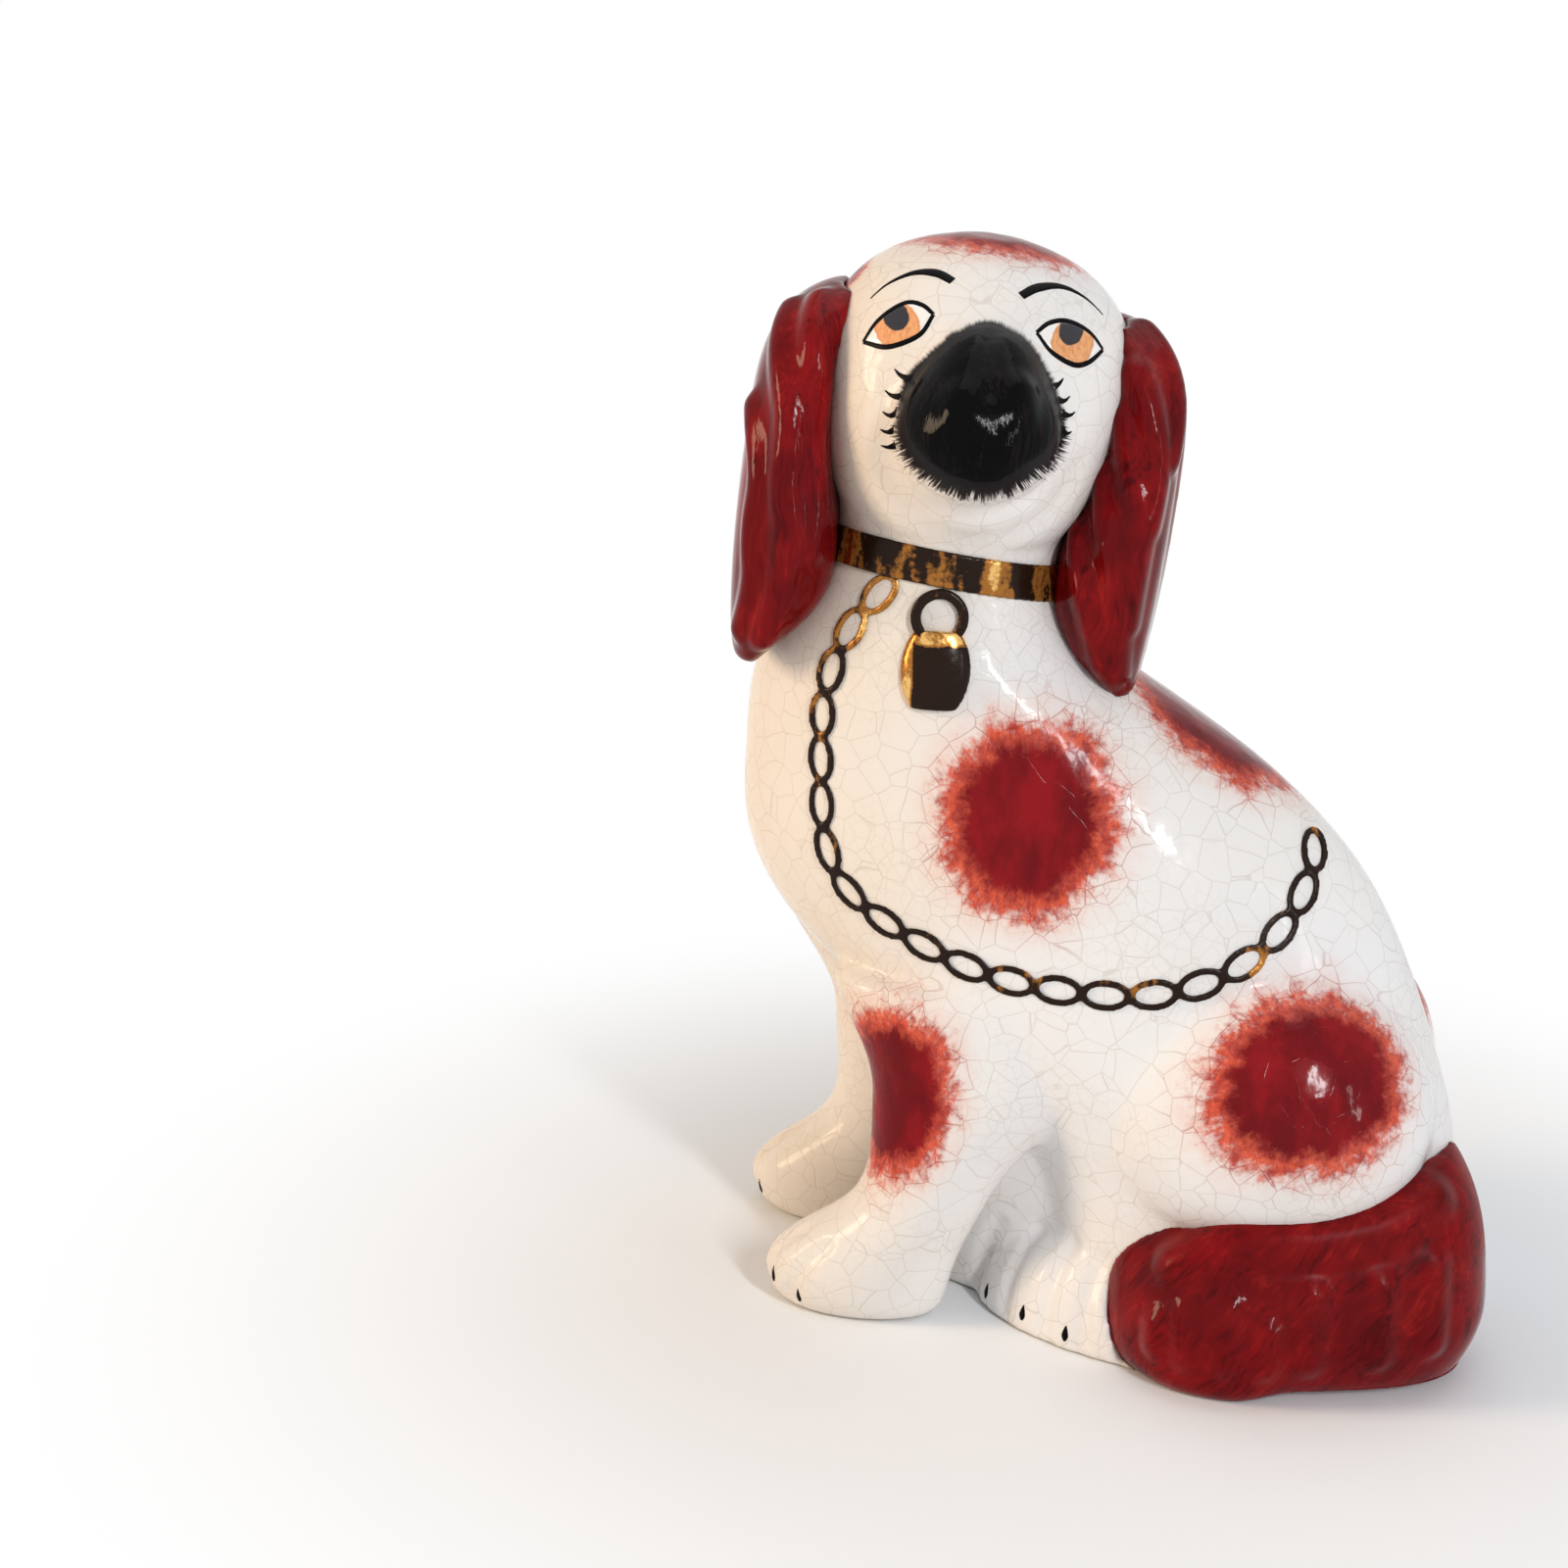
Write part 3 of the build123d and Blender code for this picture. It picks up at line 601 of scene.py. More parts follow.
class Bench:
    """Modelling steps on one object at a time."""

    @staticmethod
    def alone(piece: Piece) -> None:
        """Selects one object and nothing else."""
        bpy.ops.object.select_all(action="DESELECT")
        piece.select_set(True)
        bpy.context.view_layer.objects.active = piece

    @staticmethod
    def linked(name: str, data: bpy.types.ID) -> Piece:
        """A new object in the scene that holds the data."""
        made = bpy.data.objects.new(name, data)
        bpy.context.scene.collection.objects.link(made)
        return made

    @staticmethod
    def named(piece: Piece, name: str) -> Piece:
        """Names an object and its mesh."""
        piece.name = name
        piece.data.name = name
        return piece

    @staticmethod
    def join(name: str, pieces: Sequence[Piece]) -> Piece:
        """Joins objects into the first and names it."""
        Bench.alone(pieces[0])
        for piece in pieces:
            piece.select_set(True)
        if len(pieces) > 1:
            bpy.ops.object.join()
        return Bench.named(bpy.context.view_layer.objects.active, name)

    @staticmethod
    def copy_nodes(name: str, nodes: Sequence[str]) -> Piece:
        """A merged copy of solids, as one new object at the origin.

        Args:
            name: the new object's name.
            nodes: the solids to copy.

        Returns:
            The new object.
        """
        copies = [Bench.linked(f"{name}_{node}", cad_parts[node].data.copy()) for node in nodes]
        for copied in copies:
            copied.data.materials.clear()
        piece = Bench.join(name, copies)
        Bench.edit(piece)
        bpy.ops.mesh.remove_doubles(threshold=0.002 * MM)
        bpy.ops.object.mode_set(mode="OBJECT")
        return piece

    @staticmethod
    def edit(piece: Piece) -> None:
        """Opens an object in edit mode with everything selected."""
        Bench.alone(piece)
        bpy.ops.object.mode_set(mode="EDIT")
        bpy.ops.mesh.select_all(action="SELECT")

    @staticmethod
    def modify(piece: Piece, kind: str, **settings: object) -> None:
        """Adds a modifier, sets it and applies it."""
        Bench.alone(piece)
        modifier = piece.modifiers.new(kind.lower(), kind)
        for name, value in settings.items():
            setattr(modifier, name, value)
        bpy.ops.object.modifier_apply(modifier=modifier.name)

    @staticmethod
    def smooth(piece: Piece, passes: int, **settings: object) -> None:
        """Smooths a piece by some passes."""
        Bench.modify(piece, "SMOOTH", factor=0.5, iterations=passes, **settings)

    @staticmethod
    def smooth_where(piece: Piece, name: str, weights: Iterable[float], passes: int) -> None:
        """Smooths a piece by the weight of each of its points.

        Args:
            piece: the object.
            name: the weights' name.
            weights: one for each point; nothing happens at or below 0.
            passes: smoothing passes.
        """
        group = piece.vertex_groups.new(name=name)
        for index, weight in enumerate(weights):
            if weight > 0.0:
                group.add([index], weight, "REPLACE")
        Bench.smooth(piece, passes, vertex_group=name)

    @staticmethod
    def remesh(piece: Piece, voxel: float) -> None:
        """Rebuilds a piece as one even skin with cells of a size in millimetres."""
        Bench.modify(piece, "REMESH", mode="VOXEL", voxel_size=voxel * MM, adaptivity=0.0)

    @staticmethod
    def keep_outer_skin(piece: Piece) -> Piece:
        """Drops every loose shell but the largest."""
        name = piece.name
        Bench.edit(piece)
        bpy.ops.mesh.separate(type="LOOSE")
        bpy.ops.object.mode_set(mode="OBJECT")
        shells = sorted(bpy.context.selected_objects, key=lambda shell: len(shell.data.vertices))
        largest = shells.pop()
        for shell in shells:
            bpy.data.objects.remove(shell)
        largest.name = name
        return largest

    @staticmethod
    def guide(name: str, lines: Iterable[Sequence[Point]]) -> Piece:
        """Smooth wires through points given in millimetres, as an edge mesh.

        Args:
            name: the guide's name.
            lines: the points of each wire.

        Returns:
            The guide object.
        """
        curve = bpy.data.curves.new(name, "CURVE")
        curve.dimensions = "3D"
        curve.resolution_u = 12
        for line in lines:
            spline = curve.splines.new("NURBS")
            spline.points.add(len(line) - 1)
            for point, place in zip(spline.points, line):
                point.co = (*(Vector(place) * MM), 1.0)
            spline.order_u = min(3, len(line))
            spline.use_endpoint_u = True
        Bench.alone(Bench.linked(name, curve))
        bpy.ops.object.convert(target="MESH")
        return bpy.context.view_layer.objects.active

    @staticmethod
    def carve(piece: Piece, lines: Iterable[Sequence[Point]], width: float, depth: float) -> None:
        """Presses soft grooves into a piece, or raises ridges where the depth is negative.

        Args:
            piece: the object.
            lines: points of each groove in millimetres, near the surface.
            width: reach to each side in millimetres.
            depth: depth in millimetres.
        """
        wire = Bench.guide("groove_guide", lines)
        Bench.modify(wire, "SHRINKWRAP", target=piece, wrap_method="NEAREST_SURFACEPOINT")
        piece.vertex_groups.new(name="groove").add(range(len(piece.data.vertices)), 1.0, "REPLACE")
        Bench.modify(
            piece, "VERTEX_WEIGHT_PROXIMITY", vertex_group="groove", target=wire, proximity_mode="GEOMETRY",
            proximity_geometry={"EDGE"}, min_dist=width * MM, max_dist=0.0, falloff_type="SMOOTH",
        )
        Bench.swell(piece, -depth, vertex_group="groove")
        piece.vertex_groups.clear()
        bpy.data.objects.remove(wire)

    @staticmethod
    def path(points: Sequence[Point], step: float) -> list[Vector]:
        """Points along a smooth line through given points.

        Args:
            points: the points in millimetres.
            step: spacing in millimetres.

        Returns:
            Evenly fine points in millimetres.
        """
        knots = [Vector(point) for point in points]
        knots = [2 * knots[0] - knots[1], *knots, 2 * knots[-1] - knots[-2]]
        line: list[Vector] = []
        for a, b, c, d in zip(knots, knots[1:], knots[2:], knots[3:]):
            count = max(2, round((c - b).length / step))
            for index in range(count):
                t = index / count
                square, cube = 2 * a - 5 * b + 4 * c - d, 3 * b - a - 3 * c + d
                line.append(0.5 * (2 * b + (c - a) * t + square * t * t + cube * t ** 3))
        return [*line, knots[-2]]

    @staticmethod
    def swell(piece: Piece, amount: float, **settings: object) -> None:
        """Moves the skin out by an amount in millimetres."""
        Bench.modify(piece, "DISPLACE", strength=amount * MM, mid_level=0.0, direction="NORMAL", **settings)

    @staticmethod
    def finish(piece: Piece, material: Material, slot: Slot, nodes: Sequence[str] = ()) -> None:
        """Gives a piece its finish, shading and body.

        Args:
            piece: the object.
            material: its finish.
            slot: the record's material slot; not used.
            nodes: the solids it stands for.
        """
        piece.data.materials.clear()
        piece.data.materials.append(material)
        Bench.alone(piece)
        bpy.ops.object.shade_smooth()
        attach(piece, "root")
        if nodes:
            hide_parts(*nodes)
        LOG.info("%s: %d faces", piece.name, len(piece.data.polygons))


@dataclass
class Body:
    """Glazed skin over the body, head, forelegs and hind paws."""

    voxel: float = 1.14
    blend_passes: int = 21
    regain: float = 0.25
    face_before: float = -15.0
    face_above: float = 170.0
    off_face: float = 30.0
    rim_reach: float = 6.0
    rim_passes: int = 34
    rim_spacing: float = 0.5
    shoulder_place: Point = (-49.0, 26.5, 88.0)
    shoulder_radii: Point = (29.0, 19.5, 31.0)
    shoulder_turn: Point = (16.0, 15.0, 0.0)
    shoulder_reach: float = 44.0
    shoulder_rise: float = 2.5
    shoulder_behind: Span = (6.0, 18.0)
    shoulder_passes: int = 90
    vent_place: Point = (23.2, 3.4, 3.0)
    vent_radius: float = 6.0
    vent_depth: float = 40.0
    plug_radius: float = 7.2
    plug_depth: float = 6.0
    foot: float = 0.05
    toe_width: float = 3.2
    toe_depth: float = 0.9
    jaw_width: float = 6.0
    jaw_depth: float = 0.8
    snout_width: float = 14.0
    snout_fill: float = 1.1
    lobe_width: float = 6.5
    lobe_height: float = 1.2
    bridge_width: float = 3.0
    bridge_depth: float = 0.7
    nodes: tuple[str, ...] = (
        "body_front_shell", "body_back_shell", "left_foreleg", "right_foreleg", "left_hind_paw",
        "right_hind_paw",
    )

    def build(self, clay: Material) -> Piece:
        """Joins the solids into one skin and models the soft detail.

        Args:
            clay: finish of the bare vent.

        Returns:
            The skin.
        """
        skin = Bench.copy_nodes("glazed_body", (*self.nodes, "base_slab", "muzzle"))
        skin = Bench.join("glazed_body", (skin, self._plug(), self._shoulder()))
        Bench.remesh(skin, self.voxel)
        skin = Bench.keep_outer_skin(skin)
        Bench.smooth(skin, self.blend_passes)
        self._blend_shoulder(skin)
        Bench.swell(skin, self.regain)
        Bench.carve(skin, TOE_GROOVES, self.toe_width, self.toe_depth)
        Bench.carve(skin, [JAW_FOLD], self.jaw_width, self.jaw_depth)
        self._snout_rim(skin)
        Bench.carve(skin, [SNOUT_RIDGE], self.snout_width, -self.snout_fill)
        Bench.carve(skin, SNOUT_LOBES, self.lobe_width, -self.lobe_height)
        Bench.carve(skin, [SNOUT_BRIDGE], self.bridge_width, self.bridge_depth)
        self._underside(skin, clay)
        return skin

    def _plug(self) -> Piece:
        """Stops the vent while the skin is made."""
        bpy.ops.object.select_all(action="DESELECT")
        bpy.ops.mesh.primitive_cylinder_add(
            vertices=32, radius=self.plug_radius * MM, depth=self.plug_depth * MM,
            location=metres(self.vent_place),
        )
        bpy.ops.object.transform_apply(location=True, rotation=True, scale=True)
        return bpy.context.active_object

    def _shoulder(self) -> Piece:
        """Models the swelling that carries the far foreleg up into the chest."""
        bpy.ops.object.select_all(action="DESELECT")
        bpy.ops.mesh.primitive_uv_sphere_add(
            segments=48, ring_count=32, radius=MM, location=metres(self.shoulder_place),
            rotation=radians(self.shoulder_turn), scale=self.shoulder_radii,
        )
        bpy.ops.object.transform_apply(location=True, rotation=True, scale=True)
        return bpy.context.active_object

    def _blend_shoulder(self, skin: Piece) -> None:
        """Smooths the far foreleg's top into the chest."""
        middle = Vector(self.shoulder_place)
        start, full = self.shoulder_behind
        weights = []
        for vertex in skin.data.vertices:
            near = 1.0 - (vertex.co / MM - middle).length / self.shoulder_reach
            behind = (vertex.co.y / MM - start) / (full - start)
            weights.append(min(1.0, self.shoulder_rise * near, behind))
        Bench.smooth_where(skin, "shoulder", weights, self.shoulder_passes)

    def _underside(self, skin: Piece, clay: Material) -> None:
        """Levels the foot and opens the vent over the slab's own."""
        Bench.edit(skin)
        bpy.ops.mesh.bisect(
            plane_co=(0.0, 0.0, self.foot * MM), plane_no=(0.0, 0.0, 1.0), use_fill=True, clear_inner=True,
        )
        bpy.ops.object.mode_set(mode="OBJECT")
        x, y, _ = self.vent_place
        bpy.ops.object.select_all(action="DESELECT")
        bpy.ops.mesh.primitive_cylinder_add(
            vertices=48, radius=self.vent_radius * MM, depth=self.vent_depth * MM,
            location=metres((x, y, 0.4 * self.vent_depth)),
        )
        cutter = bpy.context.active_object
        cutter.data.materials.append(clay)
        Bench.modify(
            skin, "BOOLEAN", operation="DIFFERENCE", solver="EXACT", object=cutter, material_mode="TRANSFER",
        )
        bpy.data.objects.remove(cutter)

    def _rim_gaps(self, skin: Piece) -> list[float]:
        """How far each point of the face lies outside the snout's black rim, in millimetres."""
        middle, axis = Vector(SNOUT_MIDDLE), Vector(SNOUT_AXIS).normalized()
        side = axis.cross(Vector((0.0, 0.0, 1.0))).normalized()
        rise = side.cross(axis)

        def polar(point: Vector) -> Span:
            """Angle and radius of a point round the snout's axis."""
            along_side, along_rise = (point - middle).dot(side), (point - middle).dot(rise)
            return math.atan2(along_rise, along_side), math.hypot(along_rise, along_side)

        line = Bench.path((*SNOUT_RIM, SNOUT_RIM[0]), self.rim_spacing)
        rim = sorted(polar(point) for point in line[:-1])
        angles = [angle for angle, _ in rim]
        gaps = []
        for vertex in skin.data.vertices:
            gap = self.off_face
            if vertex.co.y < self.face_before * MM and vertex.co.z > self.face_above * MM:
                angle, radius = polar(vertex.co / MM)
                after = bisect_left(angles, angle) % len(rim)
                low, high = rim[after - 1], rim[after]
                span = (high[0] - low[0]) % math.tau
                share = ((angle - low[0]) % math.tau) / span if span else 0.0
                gap = radius - low[1] - (high[1] - low[1]) * min(share, 1.0)
            gaps.append(gap)
        return gaps

    def _snout_rim(self, skin: Piece) -> None:
        """Softens the crease round the snout, and notes how far off its black rim each point is."""
        weights = [1.0 - abs(gap) / self.rim_reach for gap in self._rim_gaps(skin)]
        Bench.smooth_where(skin, "rim", weights, self.rim_passes)
        noted = skin.data.attributes.new("snout_gap", "FLOAT", "POINT")
        noted.data.foreach_set("value", self._rim_gaps(skin))

    def dress(self, skin: Piece, glaze: Material) -> None:
        """Puts the glaze on and stands the skin for its solids."""
        clay = skin.data.materials[-1]
        is_vent = [face.material_index == len(skin.data.materials) - 1 for face in skin.data.polygons]
        Bench.finish(skin, glaze, Slot.WHITE_GLAZE, self.nodes)
        skin.data.materials.append(clay)
        skin.data.polygons.foreach_set("material_index", [int(vent) for vent in is_vent])


@dataclass
class Locks:
    """An ear or the tail: a padded form with locks of fur raised along it."""

    name: str
    node: str
    ridges: Sequence[Sequence[Point]]
    voxel: float = 0.8
    passes: int = 8
    last_passes: int = 5
    reach: float = 5.2
    height: float = 1.9
    crest: tuple[Point, ...] = ()
    crest_reach: float = 8.0
    crest_height: float = 3.2
    tuck: tuple[Point, ...] = ()
    tuck_reach: float = 15.0
    tuck_depth: float = 2.4

    def build(self) -> Piece:
        """Models the form and its fur.

        Returns:
            The piece.
        """
        piece = Bench.copy_nodes(self.name, (self.node,))
        Bench.remesh(piece, self.voxel)
        Bench.smooth(piece, self.passes)
        if self.crest:
            Bench.carve(piece, [self.crest], self.crest_reach, -self.crest_height)
        if self.tuck:
            Bench.carve(piece, [self.tuck], self.tuck_reach, self.tuck_depth)
        Bench.carve(piece, self.ridges, self.reach, -self.height)
        Bench.smooth(piece, self.last_passes)
        return piece

    def dress(self, piece: Piece, enamel: Material) -> None:
        """Puts the enamel on and stands the piece for its solid."""
        Bench.finish(piece, enamel, Slot.RED_ENAMEL, (self.node,))


@dataclass
class Muzzle:
    """Black snout: a thin coat over the part of the skin that the snout's solid stands in."""

    name: str = "black_muzzle"
    border: float = -0.2
    full: float = -1.6
    lift: float = 0.06
    tuck: float = 0.5
    thickness: float = 1.5

    @staticmethod
    def _gaps(piece: Piece) -> list[float]:
        """The gaps to the snout's rim that are noted on a skin."""
        return [noted.value for noted in piece.data.attributes["snout_gap"].data]

    def build(self, skin: Piece) -> Piece:
        """Lifts the snout off a copy of the skin.

        Args:
            skin: the glazed body with its snout measured.

        Returns:
            The piece.
        """
        piece = Bench.named(Bench.linked(self.name, skin.data.copy()), self.name)
        gaps = self._gaps(piece)
        Bench.edit(piece)
        bpy.ops.mesh.select_all(action="DESELECT")
        bpy.ops.object.mode_set(mode="OBJECT")
        for face in piece.data.polygons:
            face.select = any(gaps[index] > self.border for index in face.vertices)
        bpy.ops.object.mode_set(mode="EDIT")
        bpy.ops.mesh.delete(type="FACE")
        bpy.ops.object.mode_set(mode="OBJECT")
        piece = Bench.keep_outer_skin(piece)
        normals = [vertex.normal.copy() for vertex in piece.data.vertices]
        for vertex, normal, gap in zip(piece.data.vertices, normals, self._gaps(piece)):
            out = min(1.0, max(0.0, (gap - self.full) / (self.border - self.full)))
            vertex.co += normal * (self.lift - (self.lift + self.tuck) * out) * MM
        Bench.modify(piece, "SOLIDIFY", thickness=self.thickness * MM, offset=-1.0)
        return piece

    def dress(self, piece: Piece, enamel: Material) -> None:
        """Puts the enamel on and stands the piece for its solid."""
        Bench.finish(piece, enamel, Slot.BLACK_ENAMEL, ("muzzle",))


@dataclass
class Eye:
    """One painted eye: a thin almond plate on the glaze."""

    name: str
    upper: tuple[Point, ...]
    lower: tuple[Point, ...]
    lift: float = 0.10
    thickness: float = 0.5
    spacing: float = 0.5

    def build(self, skin: Piece) -> Piece:
        """Models the plate on the skin.

        Args:
            skin: the glazed body.

        Returns:
            The plate.
        """
        rim = Bench.path(self.upper, self.spacing)[:-1] + Bench.path(self.lower, self.spacing)[:-1]
        bpy.ops.object.select_all(action="DESELECT")
        bpy.ops.mesh.primitive_circle_add(vertices=len(rim), radius=1.0, fill_type="NGON")
        plate = Bench.named(bpy.context.active_object, self.name)
        for vertex, place in zip(plate.data.vertices, rim):
            vertex.co = place * MM
        Bench.edit(plate)
        bpy.ops.mesh.poke()
        bpy.ops.mesh.subdivide(number_cuts=4)
        bpy.ops.mesh.normals_make_consistent(inside=False)
        bpy.ops.object.mode_set(mode="OBJECT")
        facing = sum((face.normal for face in plate.data.polygons), Vector())
        if facing.y > 0:
            Bench.edit(plate)
            bpy.ops.mesh.flip_normals()
            bpy.ops.object.mode_set(mode="OBJECT")
        Bench.modify(
            plate, "SHRINKWRAP", target=skin, wrap_method="NEAREST_SURFACEPOINT", wrap_mode="ABOVE_SURFACE",
            offset=self.lift * MM,
        )
        Bench.modify(plate, "SOLIDIFY", thickness=self.thickness * MM, offset=-1.0)
        return plate

    @staticmethod
    def dress(plate: Piece, enamel: Material) -> None:
        """Puts the enamel on."""
        Bench.finish(plate, enamel, Slot.WHITE_GLAZE)


@dataclass(frozen=True)
class Mark:
    """One brush mark: points near the surface, and half widths spread evenly along it, in millimetres."""

    points: tuple[Point, ...]
    half_widths: tuple[float, ...]

    def width_at(self, share: float) -> float:
        """Half width at a share of the mark's length."""
        spot = share * (len(self.half_widths) - 1)
        index = min(int(spot), len(self.half_widths) - 2)
        part = spot - index
        return (1 - part) * self.half_widths[index] + part * self.half_widths[index + 1]


@dataclass
class Brushwork:
    """Fine black marks that stand a hair above the glaze."""

    name: str
    marks: tuple[Mark, ...]
    rise: float = 0.14
    edge_drop: float = 0.7
    sink: float = 0.5
    spacing: float = 0.45
    across: int = 4

    def build(self, skin: Piece) -> Piece:
        """Lays a thin domed strip along each mark.

        Args:
            skin: the glazed body.

        Returns:
            The marks as one piece.
        """
        piece = Bench.join(self.name, [self._strip(skin, mark) for mark in self.marks])
        Bench.modify(piece, "SOLIDIFY", thickness=self.sink * MM, offset=-1.0)
        return piece

    def _strip(self, skin: Piece, mark: Mark) -> Piece:
        """One strip, made from a grid whose rows cross the mark."""
        line = Bench.path(mark.points, self.spacing)
        rows = len(line)
        bpy.ops.object.select_all(action="DESELECT")
        bpy.ops.mesh.primitive_grid_add(x_subdivisions=self.across, y_subdivisions=rows - 1, size=1.0)
        strip = bpy.context.active_object
        for row, place in enumerate(line):
            ahead = line[min(row + 1, rows - 1)] - line[max(row - 1, 0)]
            _, near, normal, _ = skin.closest_point_on_mesh(place * MM)
            side = ahead.cross(normal).normalized()
            half = mark.width_at(row / (rows - 1))
            for column in range(self.across + 1):
                share = 2 * column / self.across - 1
                _, on_skin, up, _ = skin.closest_point_on_mesh(near + side * share * half * MM)
                crown = self.rise * (1 - self.edge_drop * share * share)
                strip.data.vertices[row * (self.across + 1) + column].co = on_skin + up * crown * MM
        return strip

    @staticmethod
    def dress(piece: Piece, enamel: Material) -> None:
        """Puts the enamel on."""
        Bench.finish(piece, enamel, Slot.BLACK_ENAMEL)


@dataclass
class Gilding:
    """A gilded sprig with softened edges."""

    name: str
    node: str
    voxel: float = 0.42
    passes: int = 3
    proud: float = 0.1

    def build(self) -> Piece:
        """Models the sprig from its solid.

        Returns:
            The piece.
        """
        piece = Bench.copy_nodes(self.name, (self.node,))
        Bench.remesh(piece, self.voxel)
        Bench.smooth(piece, self.passes)
        Bench.swell(piece, self.proud)
        return piece

    def dress(self, piece: Piece, lustre: Material) -> None:
        """Puts the lustre on and stands the piece for its solid."""
        Bench.finish(piece, lustre, Slot.GOLD_LUSTRE, (self.node,))


@dataclass(frozen=True)
class Lamp:
    """One soft lamp: place and size in metres, power in watts and tint."""

    name: str
    place: Point
    size: Span
    power: float
    tint: Point

    def hang(self, aim: Point) -> None:
        """Hangs the lamp so that it faces a place."""
        data = bpy.data.lights.new(self.name, "AREA")
        data.shape = "RECTANGLE"
        data.size, data.size_y = self.size
        data.energy = self.power
        data.color = self.tint
        lamp = Bench.linked(self.name, data)
        lamp.location = self.place
        lamp.rotation_euler = (Vector(aim) - Vector(self.place)).to_track_quat("-Z", "Y").to_euler()


@dataclass
class Studio:
    """Floor, light and camera."""

    place: Point = (49.636, -695.196, 342.573)
    azimuth: float = 10.225
    elevation: float = 17.873
    roll: float = 2.301
    focal_px: float = 3424.72
    frame_px: float = 1600.0
    sensor: float = 36.0
    aim: Point = (0.0, 0.0, 0.12)
    floor_size: float = 6.0
    floor_drop: float = 0.2
    floor_fade: Span = (0.08, 0.25)
    floor_colour: Colour = (0.90, 0.925, 0.95, 1.0)
    room_colour: Colour = (0.80, 0.80, 0.82, 1.0)
    room_light: float = 0.33
    white: Colour = (1.0, 1.0, 1.0, 1.0)
    lamps: tuple[Lamp, ...] = (
        Lamp("window", (0.72, -1.05, 0.82), (0.40, 0.60), 0.9, (0.98, 0.99, 1.0)),
        Lamp("pane", (0.70, -1.03, 0.74), (0.075, 0.42), 8.4, (0.98, 0.99, 1.0)),
        Lamp("strip", (1.05, -0.72, 0.32), (0.03, 0.45), 1.2, (1.0, 0.99, 0.98)),
        Lamp("side", (-1.3, -0.45, 0.50), (0.34, 0.58), 13.0, (1.0, 0.75, 0.50)),
        Lamp("top", (0.1, 0.25, 1.5), (1.2, 1.2), 5.6, (1.0, 0.99, 0.98)),
    )

    def camera(self) -> None:
        """Sets the camera at the photograph's angle."""
        a, e, roll = radians((self.azimuth, self.elevation, self.roll))
        back = Vector((math.sin(a) * math.cos(e), -math.cos(a) * math.cos(e), math.sin(e)))
        level = Vector((math.cos(a), math.sin(a), 0.0))
        upright = back.cross(level)
        right = level * math.cos(roll) + upright * math.sin(roll)
        up = upright * math.cos(roll) - level * math.sin(roll)
        data = bpy.data.cameras.new("camera")
        data.sensor_width = self.sensor
        data.lens = self.sensor * self.focal_px / self.frame_px
        data.clip_start = 0.01
        camera = Bench.linked("camera", data)
        turn = Matrix((right, up, back)).transposed().to_4x4()
        camera.matrix_world = Matrix.Translation(Vector(self.place) * MM) @ turn
        bpy.context.scene.camera = camera

    @staticmethod
    def _backdrop_rays(graph: Graph) -> Socket:
        """Mask of the rays that see the white backdrop itself."""
        path = graph.node("ShaderNodeLightPath").outputs
        mirrored = graph.most(path["Is Glossy Ray"], path["Is Transmission Ray"])
        return graph.most(path["Is Camera Ray"], mirrored)

    def floor(self) -> None:
        """Lays a wide pale floor that fades into the backdrop."""
        bpy.ops.object.select_all(action="DESELECT")
        bpy.ops.mesh.primitive_plane_add(size=self.floor_size, location=(0.0, 0.0, -self.floor_drop * MM))
        ground = bpy.context.active_object
        ground.name = "floor"
        bpy.ops.object.transform_apply(location=True, rotation=True, scale=True)
        material = bpy.data.materials.new("floor_white")
        material.use_nodes = True
        graph = Graph(material.node_tree)
        place = graph.node("ShaderNodeTexCoord").outputs["Object"]
        far = graph.times(graph.step(graph.length(place), *self.floor_fade), self._backdrop_rays(graph))
        matt = graph.node("ShaderNodeBsdfDiffuse", {"Color": self.floor_colour}).outputs[0]
        glow = graph.node("ShaderNodeEmission", {"Color": self.white, "Strength": 1.0}).outputs[0]
        blend = graph.node("ShaderNodeMixShader", {0: far, 1: matt, 2: glow}).outputs[0]
        graph.node("ShaderNodeOutputMaterial", {"Surface": blend})
        ground.data.materials.append(material)

    def lights(self) -> None:
        """Hangs the lamps and sets the room's own light."""
        for lamp in self.lamps:
            lamp.hang(self.aim)
        world = bpy.data.worlds.new("room")
        bpy.context.scene.world = world
        world.use_nodes = True
        graph = Graph(world.node_tree)
        seen = self._backdrop_rays(graph)
        room = graph.node("ShaderNodeBackground", {"Color": self.room_colour, "Strength": self.room_light})
        white = graph.node("ShaderNodeBackground", {"Color": self.white, "Strength": 1.0})
        blend = graph.node("ShaderNodeMixShader", {0: seen, 1: room.outputs[0], 2: white.outputs[0]})
        graph.node("ShaderNodeOutputWorld", {"Surface": blend.outputs[0]})

    def build(self) -> None:
        """Sets up the studio."""
        self.camera()
        self.floor()
        self.lights()
        bpy.context.scene.view_settings.view_transform = "Standard"


LEFT_EAR = Locks("left_ear_fur", "left_ear", [
    [(-3.4, 3.9, 220.8), (2.4, -0.6, 214.5), (5.2, -6.0, 205.9), (4.7, -11.1, 196.6)],
    [(-4.0, -9.7, 214.0), (0.6, -12.8, 204.8), (3.0, -13.7, 195.0), (1.3, -16.1, 182.9)],
    [(-5.5, -11.4, 204.0), (-3.8, -14.3, 194.5), (0.4, -16.6, 185.1), (-0.7, -17.3, 172.6),
     (-1.7, -16.2, 161.7)],
    [(-8.9, -10.3, 191.1), (-7.7, -14.9, 181.8), (-3.1, -18.2, 172.6), (-3.7, -17.2, 161.8),
     (-3.2, -14.6, 150.5)],
    [(-13.6, -8.7, 178.8), (-11.9, -14.8, 169.9), (-7.8, -17.3, 161.4), (-5.7, -15.6, 152.7)],
])
